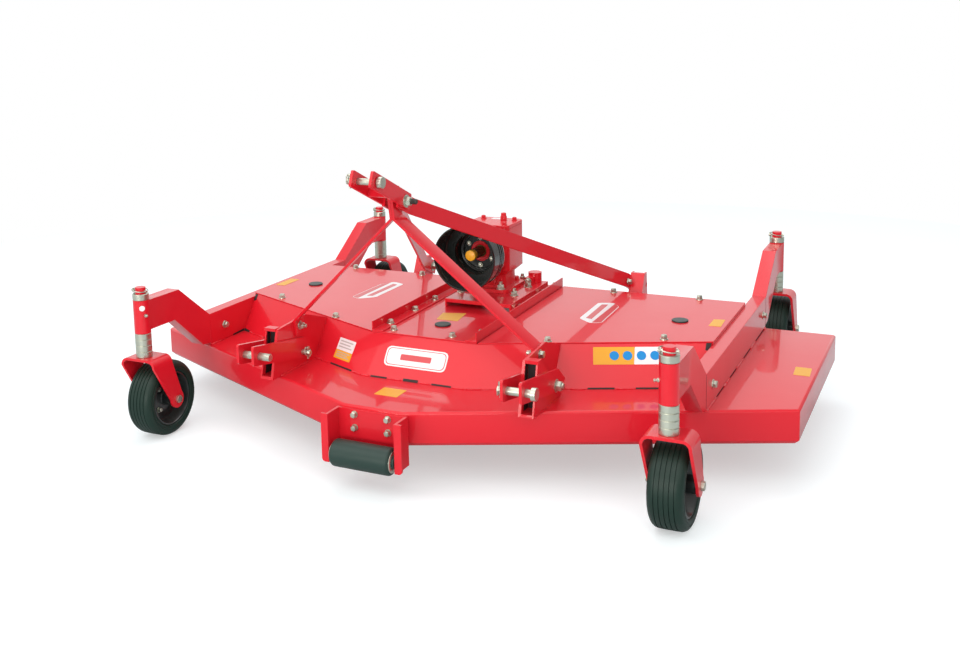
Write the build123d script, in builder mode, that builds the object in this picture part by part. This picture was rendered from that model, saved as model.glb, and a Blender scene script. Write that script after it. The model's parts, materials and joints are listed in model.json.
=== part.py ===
from build123d import *
import math
import os

os.makedirs("parts", exist_ok=True)

# A tractor-mounted finishing mower. Millimetres, X across, +Y to the rear, +Z up.
# The origin lies on the ground, under the middle of the machine.

# Deck: a shallow sheet-steel tray, pointed towards the tractor
sheet = 5.0
deck_half_width = 1056.0
deck_nose_half_width = 92.0
deck_nose_y = -812.0
deck_wing_y = -377.0
deck_rear_y = 385.0
deck_top_z = 222.0
skirt_height = 98.0
rear_skirt_height = 42.0
hem = 12.0
deck_bend_radius = 8.0

# Castors stand this far in from the deck's sides
castor_inset = 244.0
castor_x = deck_half_width - castor_inset

# Belt housing on the deck, and the covers on it
housing_top_z = 334.0
housing_rear_y = 246.0
cover_thickness = 4.0
cover_nose_half_width = 174.0
cover_nose_y = -495.0
cover_wing_x = castor_x - 18.0
cover_wing_y = -225.0
wall_foot_half_width = 170.0
wall_foot_y = -577.0
cover_gap = 3.0
rail_height = 30.0
rail_flange = 38.0
rail_thickness = 4.0

# Side beams and the castor arms bolted to their ends
beam_width = 45.0
beam_top_z = 327.0
beam_front_y = -492.0
beam_wall = 5.0
front_reach = 301.0
rear_reach = 335.0
knee_reach = 152.0
arm_top_z = 445.0
arm_under_z = 352.0
arm_under_reach = 126.0
arm_foot_rise = 8.0
arm_heel = 40.0
arm_heel_rise = 12.0

# Castors: a tube on the arm, a stem turning in it, and a trailing fork
tube_radius = 25.0
tube_bottom_z = 343.0
tube_top_z = 447.0
stem_radius = 16.0
turning_gap = 0.05
face_gap = 0.3
stem_top_z = 486.0
spacer_count = 4
collar_height = 19.0
fork_top_z = 267.0
fork_plate = 8.0
fork_width = 129.0
fork_corner = 25.0
fork_leg_width = 56.0
fork_front = 34.0
fork_rear = 52.0
castor_trail = 68.0
wheel_radius = 118.0
wheel_width = 92.0
rim_radius = 84.0
axle_radius = 8.0
axle_head = 9.0
axle_head_radius = 12.5
tyre_shoulder = 9.0
tyre_crown = 1.5
bead_inset = 6.0
bead_rise = 8.0
rim_bead = 12.0
rim_dish = 14.0
rim_wall = 4.0
hub_radius = 24.0
hub_foot = 12.0
groove = 1.5

# Gauge roller at the nose, and its bracket
roller_ahead = 56.0
roller_y = deck_nose_y - roller_ahead
roller_z = 103.0
roller_radius = 38.0
roller_half = 92.0
roller_edge = 11.0
roller_hub_radius = 18.0
roller_axle_radius = 8.0
bracket_inner = 102.0
bracket_plate = 8.0
bracket_flange = 14.0
bracket_lip = 14.0
bracket_corner = 10.0
bracket_top_z = 214.0
bracket_bottom_z = 76.0
bracket_grip = 6.0
roller_play = 2.0

# Lower hitch: a tall plate, an open channel and two clevis plates on each side
hitch_x = 412.5
hitch_box_width = 44.0
hitch_plate = 8.0
hitch_wall = 5.0
hitch_pin_radius = 11.0
hitch_pin_y = deck_nose_y + 22.0
hitch_pin_z = 317.0
pin_clearance = 0.5
hitch_behind_nose = 93.0
hitch_lean = 38.0
hitch_top_z = 366.0
hitch_peak_z = 376.0
hitch_peak = 192.0
channel_depth = 60.0
channel_head = 22.0
channel_cap = 9.0
channel_cap_rise = 3.0
channel_cap_lead = 4.0
channel_cap_side = 2.0
channel_floor_lean = 2.0
hitch_wall_lap = 12.0
low_plate_fall = 55.0
low_plate_foot = 45.0
clevis_lead = 30.0
clevis_front_rise = 36.0
clevis_front_fall = 22.0
clevis_tail = 245.0
clevis_tail_fall = 8.0
clevis_tip = 300.0
clevis_tip_fall = 52.0
clevis_heel = 255.0
clevis_heel_fall = 75.0
clevis_corner = 6.0
stored_bolt_run = 227.0
stored_bolt_fall = 51.0
left_pin_inboard = 38.0
left_pin_outboard = 8.0
right_pin_inboard = 18.0
right_pin_neck = 16.0
pin_head_height = 14.0
pin_head_step = 6.5

# Mast: two bent legs, the top clevis and two braces to the rear
leg_width = 48.0
leg_thickness = 8.0
leg_foot_y = deck_nose_y + 240.0
leg_foot_z = 353.0
leg_inset = 6.0
leg_joined = 49.0
leg_beyond = 37.0
leg_foot_bend = 22.0
leg_foot_end = 24.0
leg_gap = 0.2
bend_growth = 3.0
top_plate_gap = 52.0
top_plate = 8.0
top_plate_length = 236.0
top_plate_height = 46.0
top_plate_lead = 34.0
top_plate_corner = 6.0
top_pin_radius = 9.5
top_pin_y = deck_nose_y + 10.0
top_pin_z = 847.0
top_pin_free_end = 26.0
top_pin_neck = 2.0
clevis_drop = 24.0
web_run = 66.0
web_thickness = 8.0
web_fall = 14.0
mast_bolt_end = 28.1
mast_bolt_run = top_plate_length - top_plate_lead - mast_bolt_end
mast_bolt_rise = -4.7
mast_bolt_radius = 8.0
mast_nut_radius = 13.0
mast_nut_height = 13.0
mast_head_height = 10.0
mast_bolt_spare = 34.0
brace_width = 48.0
brace_thickness = 8.0
brace_front_end = 24.0
brace_rear_end = 26.0
brace_bend = 62.0
rear_bracket_x = hitch_x + 2.5
rear_bracket_width = 48.0
rear_bracket_wall = 5.0
rear_bracket_fold = 12.0
rear_bracket_rise = 44.0
rear_bracket_ahead = 22.0
rear_bracket_behind = 4.0
rear_bracket_foot_gap = 4.0
rear_bracket_foot_end = 8.0
rear_bolt_y = 355.0
rear_bolt_z = 341.0

# Gearbox, its platform, shaft and guard
platform_left_x = -90.0
platform_right_x = 142.0
platform_front_y = -155.0
platform_rear_y = 186.0
platform_wall = 6.0
platform_lip = 13.0
gearbox_y = 50.0
gearbox_half_x = 80.0
gearbox_half_y = 73.0
gearbox_foot_z = 366.0
gearbox_top_z = 580.0
gearbox_corner = 20.0
gearbox_foot_margin = 12.0
foot_thickness = 12.0
neck_half_x = 58.0
neck_half_y = 56.0
neck_top_z = 420.0
neck_flare = 20.0
boss_radius = 62.0
boss_length = 37.0
lid_height = 12.0
lid_edge = 3.0
shaft_z = 512.0
shaft_radius = 17.5
shaft_tip_y = -147.0
shaft_tip_edge = 2.0
journal_radius = 20.0
journal_ahead = 2.0
journal_depth = 65.0
guard_radius = 106.0
guard_wall = 4.0
guard_front_y = -200.0
guard_step_radius = 72.0
guard_step_y = -110.0
guard_hole_radius = 34.0
tensioner_x = 104.0
tensioner_y = 160.0
tensioner_radius = 23.0
tensioner_height = 36.0
tensioner_lug_width = 26.0
tensioner_lug_length = 34.0
tensioner_lug_x = 6.0
tensioner_lug_y = 30.0
tensioner_lug_step = 12.0

# Blades, spindles and the rubber plugs over them
spindle_inset = 401.0
spindle_x = deck_half_width - spindle_inset
side_spindle_y = -48.0
centre_spindle_y = -359.0
blade_tip_gap = 5.5
blade_radius = math.hypot(spindle_x, side_spindle_y - centre_spindle_y) / 2 - blade_tip_gap
blade_z = 146.0
blade_thickness = 8.0
blade_width = 65.0
blade_hub_radius = 30.0
blade_nut_radius = 19.0
blade_nut_height = 14.0
spindle_radius = 15.0
spindle_flange_radius = 75.0
spindle_flange = 8.0
spindle_housing_radius = 38.0
spindle_above_blade = 16.0
wing_length = 110.0
wing_from_tip = 36.0
wing_rise = 18.0
wing_run = 14.0
wing_thickness = 6.0
plug_radius = 25.0
plug_height = 5.0

SIDES = (("left", -1), ("right", 1))
ENDS = (("front", -1), ("rear", 1))


def save(piece, name):
    piece.part.label = name
    export_step(piece.part, f"parts/{name}.step")


def line_y(x, point_a, point_b):
    """Y where the plan line through two points crosses x."""
    slope = (point_b[1] - point_a[1]) / (point_b[0] - point_a[0])
    return point_a[1] + slope * (x - point_a[0])


def mirrored(half_outline):
    """A closed plan outline from its right half, listed from nose to rear."""
    return half_outline + [(-x, y) for x, y in reversed(half_outline)]


deck_half = [(deck_nose_half_width, deck_nose_y), (deck_half_width, deck_wing_y), (deck_half_width, deck_rear_y)]
cover_nose = (cover_nose_half_width, cover_nose_y)
cover_wing = (cover_wing_x, cover_wing_y)
beam_inner_x = castor_x - beam_width / 2
wall_slope = (cover_wing_y - cover_nose_y) / (cover_wing_x - cover_nose_half_width)
wall_foot = (wall_foot_half_width, wall_foot_y)
wall_foot_wing = (beam_inner_x, wall_foot_y + wall_slope * (beam_inner_x - wall_foot_half_width))
wall_top_wing = (beam_inner_x, line_y(beam_inner_x, cover_nose, cover_wing))
skirt_bottom_z = deck_top_z - skirt_height

# Deck tray with its hem turned in, open below
with BuildPart() as deck:
    with BuildSketch(Plane.XY.offset(skirt_bottom_z)):
        with BuildLine():
            Polyline(*mirrored(deck_half), close=True)
        make_face()
    extrude(amount=skirt_height)
    fillet(deck.faces().sort_by(Axis.Z)[-1].edges(), deck_bend_radius)
    chamfer(deck.faces().sort_by(Axis.Z)[0].edges(), hem)
    offset(amount=-sheet, openings=deck.faces().sort_by(Axis.Z)[0])
    with BuildSketch(Plane.XZ.offset(-deck_rear_y - 1)):
        with Locations((0, skirt_bottom_z)):
            Rectangle(
                2 * (deck_half_width - 3 * hem),
                2 * (skirt_height - rear_skirt_height),
                align=(Align.CENTER, Align.CENTER),
            )
    extrude(amount=3 * hem, mode=Mode.SUBTRACT)
save(deck, "deck")


def housing_outline(inset, z):
    """Plan outline of the belt housing at height z, moved in by inset."""
    share = (z - deck_top_z) / (housing_top_z - deck_top_z)
    nose_x = wall_foot[0] + share * (cover_nose[0] - wall_foot[0])
    nose_y = wall_foot[1] + share * (cover_nose[1] - wall_foot[1])
    wing_y = wall_foot_wing[1] + share * (wall_top_wing[1] - wall_foot_wing[1])
    half = [
        (nose_x, nose_y + inset),
        (beam_inner_x - inset, wing_y + inset),
        (beam_inner_x - inset, housing_rear_y - inset),
    ]
    return mirrored(half)


# Belt housing: three sloping front walls, two ends and a rear wall
with BuildPart() as belt_housing:
    for inset, top_rise, mode in ((0, 0, Mode.ADD), (sheet, 1, Mode.SUBTRACT)):
        with BuildSketch(Plane.XY.offset(deck_top_z)):
            with BuildLine():
                Polyline(*housing_outline(inset, deck_top_z), close=True)
            make_face()
        with BuildSketch(Plane.XY.offset(housing_top_z + top_rise)):
            with BuildLine():
                Polyline(*housing_outline(inset, housing_top_z + top_rise), close=True)
            make_face()
        loft(ruled=True, mode=mode)
save(belt_housing, "belt_housing")

# Cover plates over the belts
cover_inner_x = cover_nose_half_width + cover_gap
for side, sign in SIDES:
    with BuildPart() as side_cover:
        with BuildSketch(Plane.XY.offset(housing_top_z)):
            with BuildLine():
                Polyline(
                    (sign * cover_inner_x, line_y(cover_inner_x, cover_nose, cover_wing)),
                    (sign * cover_wing_x, cover_wing_y),
                    (sign * cover_wing_x, housing_rear_y),
                    (sign * cover_inner_x, housing_rear_y),
                    close=True,
                )
            make_face()
        extrude(amount=cover_thickness)
    save(side_cover, f"cover_{side}")

with BuildPart() as centre_cover:
    with BuildSketch(Plane.XY.offset(housing_top_z)):
        with Locations((0, cover_nose_y)):
            Rectangle(2 * cover_nose_half_width, housing_rear_y - cover_nose_y, align=(Align.CENTER, Align.MIN))
    extrude(amount=cover_thickness)
save(centre_cover, "cover_centre")

# Angle rails along the centre cover
cover_top_z = housing_top_z + cover_thickness
for side, sign in SIDES:
    with BuildPart() as rail:
        with BuildSketch(Plane.XZ.offset(-cover_nose_y)):
            with BuildLine():
                Polyline(
                    (sign * cover_nose_half_width, cover_top_z),
                    (sign * cover_nose_half_width, cover_top_z + rail_height),
                    (sign * (cover_nose_half_width - rail_thickness), cover_top_z + rail_height),
                    (sign * (cover_nose_half_width - rail_thickness), cover_top_z + rail_thickness),
                    (sign * (cover_nose_half_width - rail_flange), cover_top_z + rail_thickness),
                    (sign * (cover_nose_half_width - rail_flange), cover_top_z),
                    close=True,
                )
            make_face()
        extrude(amount=-(housing_rear_y - cover_nose_y))
    save(rail, f"rail_{side}")

# Side beams: rectangular tubes standing on the deck
for side, sign in SIDES:
    with BuildPart() as beam:
        with BuildSketch(Plane.XZ.offset(-beam_front_y)):
            with Locations((sign * castor_x, (deck_top_z + beam_top_z) / 2)):
                Rectangle(beam_width, beam_top_z - deck_top_z)
                Rectangle(
                    beam_width - 2 * beam_wall,
                    beam_top_z - deck_top_z - 2 * beam_wall,
                    mode=Mode.SUBTRACT,
                )
        extrude(amount=-(deck_rear_y - beam_front_y))
    save(beam, f"side_beam_{side}")

# Castor positions along Y, from the beam ends
castor_y = {"front": beam_front_y - front_reach, "rear": deck_rear_y + rear_reach}
beam_end_y = {"front": beam_front_y, "rear": deck_rear_y}

# Goose-neck arms, each with the upright tube that carries its castor
for end, way in ENDS:
    for side, sign in SIDES:
        pivot_y = castor_y[end]
        end_y = beam_end_y[end]
        with BuildPart() as arm:
            with BuildSketch(Plane.YZ.offset(sign * castor_x - beam_width / 2)):
                with BuildLine():
                    Polyline(
                        (end_y, deck_top_z + arm_foot_rise),
                        (end_y, beam_top_z),
                        (pivot_y - way * knee_reach, arm_top_z),
                        (pivot_y, arm_top_z),
                        (pivot_y, arm_under_z),
                        (pivot_y - way * arm_under_reach, arm_under_z),
                        (end_y + way * arm_heel, deck_top_z + arm_heel_rise),
                        close=True,
                    )
                make_face()
            extrude(amount=beam_width)
            with BuildSketch(Plane.XY.offset(tube_bottom_z)):
                with Locations((sign * castor_x, pivot_y)):
                    Circle(tube_radius)
            extrude(amount=tube_top_z - tube_bottom_z)
            with BuildSketch(Plane.XY.offset(tube_bottom_z)):
                with Locations((sign * castor_x, pivot_y)):
                    Circle(stem_radius + turning_gap)
            extrude(amount=tube_top_z - tube_bottom_z, mode=Mode.SUBTRACT)
        save(arm, f"castor_arm_{end}_{side}")

# Castor forks, spacers, wheels: trailing to the rear
spacer_height = (tube_bottom_z - face_gap - fork_top_z) / spacer_count
hub_half = fork_width / 2 - fork_plate - 1.0

for end, way in ENDS:
    for side, sign in SIDES:
        place = f"{end}_{side}"
        pivot_x = sign * castor_x
        pivot_y = castor_y[end]
        axle_y = pivot_y + castor_trail

        with BuildPart() as fork:
            with BuildSketch(Plane((pivot_x, pivot_y - fork_front, 0), x_dir=(1, 0, 0), z_dir=(0, -1, 0))):
                with BuildLine():
                    FilletPolyline(
                        (-fork_width / 2, 0),
                        (-fork_width / 2, fork_top_z),
                        (fork_width / 2, fork_top_z),
                        (fork_width / 2, 0),
                        radius=fork_corner,
                    )
                    offset(amount=fork_plate, side=Side.RIGHT, closed=True)
                make_face()
            extrude(amount=-(fork_front + castor_trail + fork_leg_width))
            with BuildSketch(Plane.YZ.offset(pivot_x - fork_width)):
                with BuildLine():
                    Polyline(
                        (pivot_y - fork_front, fork_top_z + 1),
                        (pivot_y + fork_rear, fork_top_z + 1),
                        (pivot_y + fork_rear, fork_top_z - fork_corner),
                        (axle_y + fork_leg_width / 2, wheel_radius),
                        (axle_y - fork_leg_width / 2, wheel_radius),
                        (pivot_y - fork_front, fork_top_z - fork_corner),
                        close=True,
                    )
                make_face()
                with Locations((axle_y, wheel_radius)):
                    Circle(fork_leg_width / 2)
            extrude(amount=2 * fork_width, mode=Mode.INTERSECT)
            with BuildSketch(Plane.XY.offset(fork_top_z)):
                with Locations((pivot_x, pivot_y)):
                    Circle(stem_radius)
            extrude(amount=stem_top_z - fork_top_z)
            with BuildSketch(Plane.YZ.offset(pivot_x - fork_width)):
                with Locations((axle_y, wheel_radius)):
                    Circle(axle_radius)
            extrude(amount=2 * fork_width, mode=Mode.SUBTRACT)
        save(fork, f"castor_fork_{place}")

        with BuildPart() as axle:
            with BuildSketch(Plane.YZ.offset(pivot_x - fork_width / 2 - axle_head)):
                with Locations((axle_y, wheel_radius)):
                    RegularPolygon(axle_head_radius, 6)
            extrude(amount=axle_head)
            with BuildSketch(Plane.YZ.offset(pivot_x - fork_width / 2)):
                with Locations((axle_y, wheel_radius)):
                    Circle(axle_radius)
            extrude(amount=fork_width)
            with BuildSketch(Plane.YZ.offset(pivot_x + fork_width / 2)):
                with Locations((axle_y, wheel_radius)):
                    RegularPolygon(axle_head_radius, 6)
            extrude(amount=axle_head)
        save(axle, f"castor_axle_{place}")

        # Four spacer rings under the tube, joined at their grooves, and one collar above it
        with BuildPart() as spacers:
            with BuildSketch(Plane((pivot_x, pivot_y, 0), x_dir=(1, 0, 0), z_dir=(0, -1, 0))):
                for ring in range(spacer_count):
                    ring_z = fork_top_z + ring * spacer_height
                    with BuildLine():
                        Polyline(
                            (stem_radius, ring_z),
                            (tube_radius - groove, ring_z),
                            (tube_radius, ring_z + groove),
                            (tube_radius, ring_z + spacer_height - groove),
                            (tube_radius - groove, ring_z + spacer_height),
                            (stem_radius, ring_z + spacer_height),
                            close=True,
                        )
                    make_face()
                with Locations((stem_radius, tube_top_z + face_gap)):
                    Rectangle(tube_radius - stem_radius, collar_height, align=(Align.MIN, Align.MIN))
            revolve(axis=Axis((pivot_x, pivot_y, 0), (0, 0, 1)))
        save(spacers, f"castor_spacers_{place}")

        # Ribbed solid tyre
        half_width = wheel_width / 2
        wheel_plane = Plane((pivot_x, axle_y, wheel_radius), x_dir=(1, 0, 0), z_dir=(0, -1, 0))
        wheel_axis = Axis((pivot_x, axle_y, wheel_radius), (1, 0, 0))
        with BuildPart() as tyre:
            with BuildSketch(wheel_plane):
                with BuildLine():
                    Polyline(
                        (-half_width + bead_inset, rim_radius),
                        (-half_width, rim_radius + bead_rise),
                        (-half_width, wheel_radius - 2 * tyre_shoulder),
                        (-half_width + tyre_shoulder, wheel_radius - tyre_crown),
                        (-half_width + 2 * tyre_shoulder, wheel_radius),
                        (half_width - 2 * tyre_shoulder, wheel_radius),
                        (half_width - tyre_shoulder, wheel_radius - tyre_crown),
                        (half_width, wheel_radius - 2 * tyre_shoulder),
                        (half_width, rim_radius + bead_rise),
                        (half_width - bead_inset, rim_radius),
                        close=True,
                    )
                make_face()
            revolve(axis=wheel_axis)
        save(tyre, f"castor_tyre_{place}")

        # Pressed steel rim: two beads, a dished disc and a hub tube on the axle
        with BuildPart() as rim:
            with BuildSketch(wheel_plane):
                with BuildLine():
                    Polyline(
                        (-half_width + bead_inset, rim_radius),
                        (half_width - bead_inset, rim_radius),
                        (half_width - bead_inset, rim_radius - rim_wall),
                        (rim_wall, rim_radius - rim_wall),
                        (rim_wall, rim_radius - rim_bead),
                        (rim_dish, hub_radius + hub_foot),
                        (rim_dish, hub_radius),
                        (hub_half, hub_radius),
                        (hub_half, axle_radius + turning_gap),
                        (-hub_half, axle_radius + turning_gap),
                        (-hub_half, hub_radius),
                        (-rim_dish, hub_radius),
                        (-rim_dish, hub_radius + hub_foot),
                        (-rim_wall, rim_radius - rim_bead),
                        (-rim_wall, rim_radius - rim_wall),
                        (-half_width + bead_inset, rim_radius - rim_wall),
                        close=True,
                    )
                make_face()
            revolve(axis=wheel_axis)
        save(rim, f"castor_rim_{place}")

# Roller bracket bolted to the nose skirt, and the roller in it
bracket_outer = bracket_inner + bracket_plate
flange_outer = bracket_outer + bracket_flange
back_y = deck_nose_y - bracket_plate
front_y = roller_y - bracket_lip
with BuildPart() as roller_bracket:
    with BuildSketch(Plane.XY.offset(bracket_bottom_z)):
        with BuildLine():
            Polyline(
                (-flange_outer, front_y),
                (-flange_outer, front_y + bracket_plate),
                (-bracket_outer, front_y + bracket_plate),
                (-bracket_outer, deck_nose_y),
                (bracket_outer, deck_nose_y),
                (bracket_outer, front_y + bracket_plate),
                (flange_outer, front_y + bracket_plate),
                (flange_outer, front_y),
                (bracket_inner, front_y),
                (bracket_inner, back_y),
                (-bracket_inner, back_y),
                (-bracket_inner, front_y),
                close=True,
            )
        make_face()
    extrude(amount=bracket_top_z - bracket_bottom_z)
    flange_corners = roller_bracket.edges().filter_by(Axis.Y).group_by(Axis.Z)[0].sort_by(Axis.X)
    fillet([flange_corners[0], flange_corners[-1]], bracket_corner)
    # The back plate ends under the skirt's lower edge
    with BuildSketch(Plane.XZ.offset(1 - back_y)):
        with Locations((0, bracket_bottom_z)):
            Rectangle(2 * bracket_inner, 2 * (skirt_bottom_z + bracket_grip - bracket_bottom_z))
    extrude(amount=-(bracket_plate + 3), mode=Mode.SUBTRACT)
    with BuildSketch(Plane.YZ.offset(-flange_outer)):
        with Locations((roller_y, roller_z)):
            Circle(roller_axle_radius)
    extrude(amount=2 * flange_outer, mode=Mode.SUBTRACT)
save(roller_bracket, "roller_bracket")

with BuildPart() as roller_axle:
    with BuildSketch(Plane.YZ.offset(-bracket_outer)):
        with Locations((roller_y, roller_z)):
            Circle(roller_axle_radius)
    extrude(amount=2 * bracket_outer)
save(roller_axle, "roller_axle")

hub_end = bracket_inner - roller_play
with BuildPart() as roller:
    with BuildSketch(Plane.YZ.offset(-roller_half)):
        with Locations((roller_y, roller_z)):
            Circle(roller_radius)
    extrude(amount=2 * roller_half)
    fillet(roller.edges().filter_by(GeomType.CIRCLE), roller_edge)
    with BuildSketch(Plane.YZ.offset(-hub_end)):
        with Locations((roller_y, roller_z)):
            Circle(roller_hub_radius)
    extrude(amount=2 * hub_end)
    with BuildSketch(Plane.YZ.offset(-hub_end)):
        with Locations((roller_y, roller_z)):
            Circle(roller_axle_radius + turning_gap)
    extrude(amount=2 * hub_end, mode=Mode.SUBTRACT)
save(roller, "roller")

# Lower hitch: plate, channel and clevis plates, welded to the deck and the sloping wall
hitch_front_y = deck_nose_y + hitch_behind_nose
hitch_head_y = hitch_front_y + hitch_lean
hitch_peak_y = hitch_front_y + hitch_peak
hitch_rear = line_y(hitch_x, wall_foot, wall_foot_wing)
hitch_rear_top = line_y(hitch_x, cover_nose, cover_wing)
hitch_inner_x = hitch_x - hitch_box_width / 2
hitch_outer_x = hitch_x + hitch_box_width / 2
channel_back_y = hitch_front_y + channel_depth
channel_cap_z = hitch_top_z + channel_cap_rise
tall_plate = [
    (hitch_front_y, deck_top_z),
    (hitch_head_y, hitch_top_z),
    (hitch_peak_y, hitch_peak_z),
    (hitch_rear_top - hitch_wall_lap, housing_top_z),
    (hitch_rear, deck_top_z),
]
low_plate = [
    (hitch_front_y, deck_top_z),
    (hitch_head_y, hitch_top_z),
    (hitch_head_y + channel_head, hitch_top_z),
    (hitch_pin_y + clevis_tail, hitch_pin_z - low_plate_fall),
    (hitch_pin_y + clevis_tail + low_plate_foot, deck_top_z),
]
channel_back = [
    (channel_back_y - hitch_wall, deck_top_z),
    (channel_back_y - hitch_wall, hitch_top_z),
    (channel_back_y, hitch_top_z),
    (channel_back_y, deck_top_z),
]
channel_top = [
    (hitch_head_y - channel_cap_lead, channel_cap_z - channel_cap),
    (hitch_head_y - channel_cap_lead, channel_cap_z),
    (hitch_head_y + channel_head, channel_cap_z),
    (hitch_head_y + channel_head, channel_cap_z - channel_cap),
]
channel_floor = [
    (hitch_front_y, deck_top_z),
    (hitch_front_y + channel_floor_lean, deck_top_z + hitch_plate),
    (channel_back_y, deck_top_z + hitch_plate),
    (channel_back_y, deck_top_z),
]
clevis_plate = [
    (hitch_pin_y - clevis_lead, hitch_pin_z - clevis_front_fall),
    (hitch_pin_y - clevis_lead, hitch_pin_z + clevis_front_rise),
    (hitch_pin_y + clevis_tail, hitch_pin_z - clevis_tail_fall),
    (hitch_pin_y + clevis_tip, hitch_pin_z - clevis_tip_fall),
    (hitch_pin_y + clevis_heel, hitch_pin_z - clevis_heel_fall),
]
for side, sign in SIDES:
    with BuildPart() as lower_hitch:
        for near_x, far_x, outline in (
            (hitch_inner_x, hitch_inner_x + hitch_plate, tall_plate),
            (hitch_outer_x - hitch_wall, hitch_outer_x, low_plate),
            (hitch_inner_x + hitch_plate, hitch_outer_x - hitch_wall, channel_back),
            (hitch_inner_x + hitch_plate, hitch_outer_x + channel_cap_side, channel_top),
            (hitch_inner_x + hitch_plate, hitch_outer_x - hitch_wall, channel_floor),
        ):
            with BuildSketch(Plane.YZ.offset(sign * near_x)):
                with BuildLine():
                    Polyline(*outline, close=True)
                make_face()
            extrude(amount=sign * (far_x - near_x))
        # The rear is cut to the housing's sloping wall
        with BuildSketch(Plane.XY.offset(deck_top_z)):
            with BuildLine():
                Polyline(*housing_outline(0, deck_top_z), close=True)
            make_face()
        with BuildSketch(Plane.XY.offset(housing_top_z)):
            with BuildLine():
                Polyline(*housing_outline(0, housing_top_z), close=True)
            make_face()
        loft(ruled=True, mode=Mode.SUBTRACT)
        for near_x in (hitch_inner_x - hitch_plate, hitch_outer_x):
            with BuildSketch(Plane.YZ.offset(sign * near_x)):
                with BuildLine():
                    FilletPolyline(*clevis_plate, radius=clevis_corner, close=True)
                make_face()
                with Locations((hitch_pin_y, hitch_pin_z)):
                    Circle(hitch_pin_radius + pin_clearance, mode=Mode.SUBTRACT)
            extrude(amount=sign * hitch_plate)
        for hole_y, hole_z in (
            (leg_foot_y, leg_foot_z),
            (hitch_pin_y + stored_bolt_run, hitch_pin_z - stored_bolt_fall),
        ):
            with BuildSketch(Plane.YZ.offset(-hitch_outer_x - hitch_plate)):
                with Locations((hole_y, hole_z)):
                    Circle(mast_bolt_radius + pin_clearance)
            extrude(amount=2 * (hitch_outer_x + hitch_plate), mode=Mode.SUBTRACT)
    save(lower_hitch, f"lower_hitch_{side}")

# Lower link pins: the left one shows its plain end inboard, the right one its head outboard
plates_inner_x = hitch_inner_x - hitch_plate
plates_outer_x = hitch_outer_x + hitch_plate
right_head_x = plates_outer_x + right_pin_neck
with BuildPart() as lower_pins:
    for sign, start_x, end_x, radius in (
        (-1, plates_inner_x - left_pin_inboard, plates_outer_x + left_pin_outboard, hitch_pin_radius),
        (1, plates_inner_x - right_pin_inboard, right_head_x, hitch_pin_radius),
        (1, right_head_x, right_head_x + pin_head_height, hitch_pin_radius + pin_head_step),
    ):
        with BuildSketch(Plane.YZ.offset(sign * start_x)):
            with Locations((hitch_pin_y, hitch_pin_z)):
                Circle(radius)
        extrude(amount=sign * (end_x - start_x))
save(lower_pins, "lower_pins")

# The mast bolt lies on the top clevis, at its run and rise from the top pin
drop = math.radians(clevis_drop)
along = (math.cos(drop), -math.sin(drop))
across = (math.sin(drop), math.cos(drop))


def on_plate(run, rise):
    """A YZ point at a run behind the top pin and a rise above the plates' middle."""
    y = top_pin_y + run * along[0] + rise * across[0]
    z = top_pin_z + run * along[1] + rise * across[1]
    return (y, z)


mast_bolt_y, mast_bolt_z = on_plate(mast_bolt_run, mast_bolt_rise)

# Mast legs: flat bars, bent at the foot and where they meet
lean = math.atan2(leg_foot_y - mast_bolt_y + leg_inset, mast_bolt_z - leg_foot_z)
leg_run = math.hypot(leg_foot_y - mast_bolt_y + leg_inset, mast_bolt_z - leg_foot_z)
leg_plane = Plane(
    (0, leg_foot_y, leg_foot_z),
    x_dir=(1, 0, 0),
    z_dir=(0, -math.cos(lean), -math.sin(lean)),
)
leg_split = leg_run - leg_joined
leg_top = leg_run + leg_beyond
leg_inner = [
    (leg_gap, leg_top),
    (leg_gap, leg_split),
    (hitch_inner_x - leg_thickness, leg_foot_bend),
    (hitch_inner_x - leg_thickness, -leg_foot_end),
]
leg_outer = [
    (hitch_inner_x, -leg_foot_end),
    (hitch_inner_x, leg_foot_bend + bend_growth),
    (leg_thickness + leg_gap, leg_split + bend_growth),
    (leg_thickness + leg_gap, leg_top),
]
for side, sign in SIDES:
    with BuildPart() as leg:
        with BuildSketch(leg_plane.offset(-leg_width / 2)):
            with BuildLine():
                Polyline(*[(sign * x, run) for x, run in leg_inner + leg_outer], close=True)
            make_face()
        extrude(amount=leg_width)
        with BuildSketch(Plane.YZ.offset(-hitch_x)):
            with Locations((mast_bolt_y, mast_bolt_z), (leg_foot_y, leg_foot_z)):
                Circle(mast_bolt_radius + pin_clearance)
        extrude(amount=2 * hitch_x, mode=Mode.SUBTRACT)
    save(leg, f"mast_leg_{side}")

# Top clevis: two sloping plates and the web between them
half_height = top_plate_height / 2
top_outline = [
    on_plate(-top_plate_lead, -half_height),
    on_plate(-top_plate_lead, half_height),
    on_plate(top_plate_length - top_plate_lead, half_height),
    on_plate(top_plate_length - top_plate_lead, -half_height),
]
with BuildPart() as top_clevis:
    for face in (-1, 1):
        plate_x = face * (top_plate_gap + top_plate) / 2
        with BuildSketch(Plane.YZ.offset(plate_x - top_plate / 2)):
            with BuildLine():
                FilletPolyline(*top_outline, radius=top_plate_corner, close=True)
            make_face()
            with Locations((top_pin_y, top_pin_z)):
                Circle(top_pin_radius + pin_clearance, mode=Mode.SUBTRACT)
            with Locations((mast_bolt_y, mast_bolt_z)):
                Circle(mast_bolt_radius + pin_clearance, mode=Mode.SUBTRACT)
        extrude(amount=top_plate)
    with BuildSketch(Plane.YZ.offset(-top_plate_gap / 2)):
        with BuildLine():
            Polyline(
                on_plate(web_run, -half_height),
                on_plate(web_run, half_height - web_fall),
                on_plate(web_run + web_thickness, half_height - web_fall),
                on_plate(web_run + web_thickness, -half_height),
                close=True,
            )
        make_face()
    extrude(amount=top_plate_gap)
save(top_clevis, "top_clevis")

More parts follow.
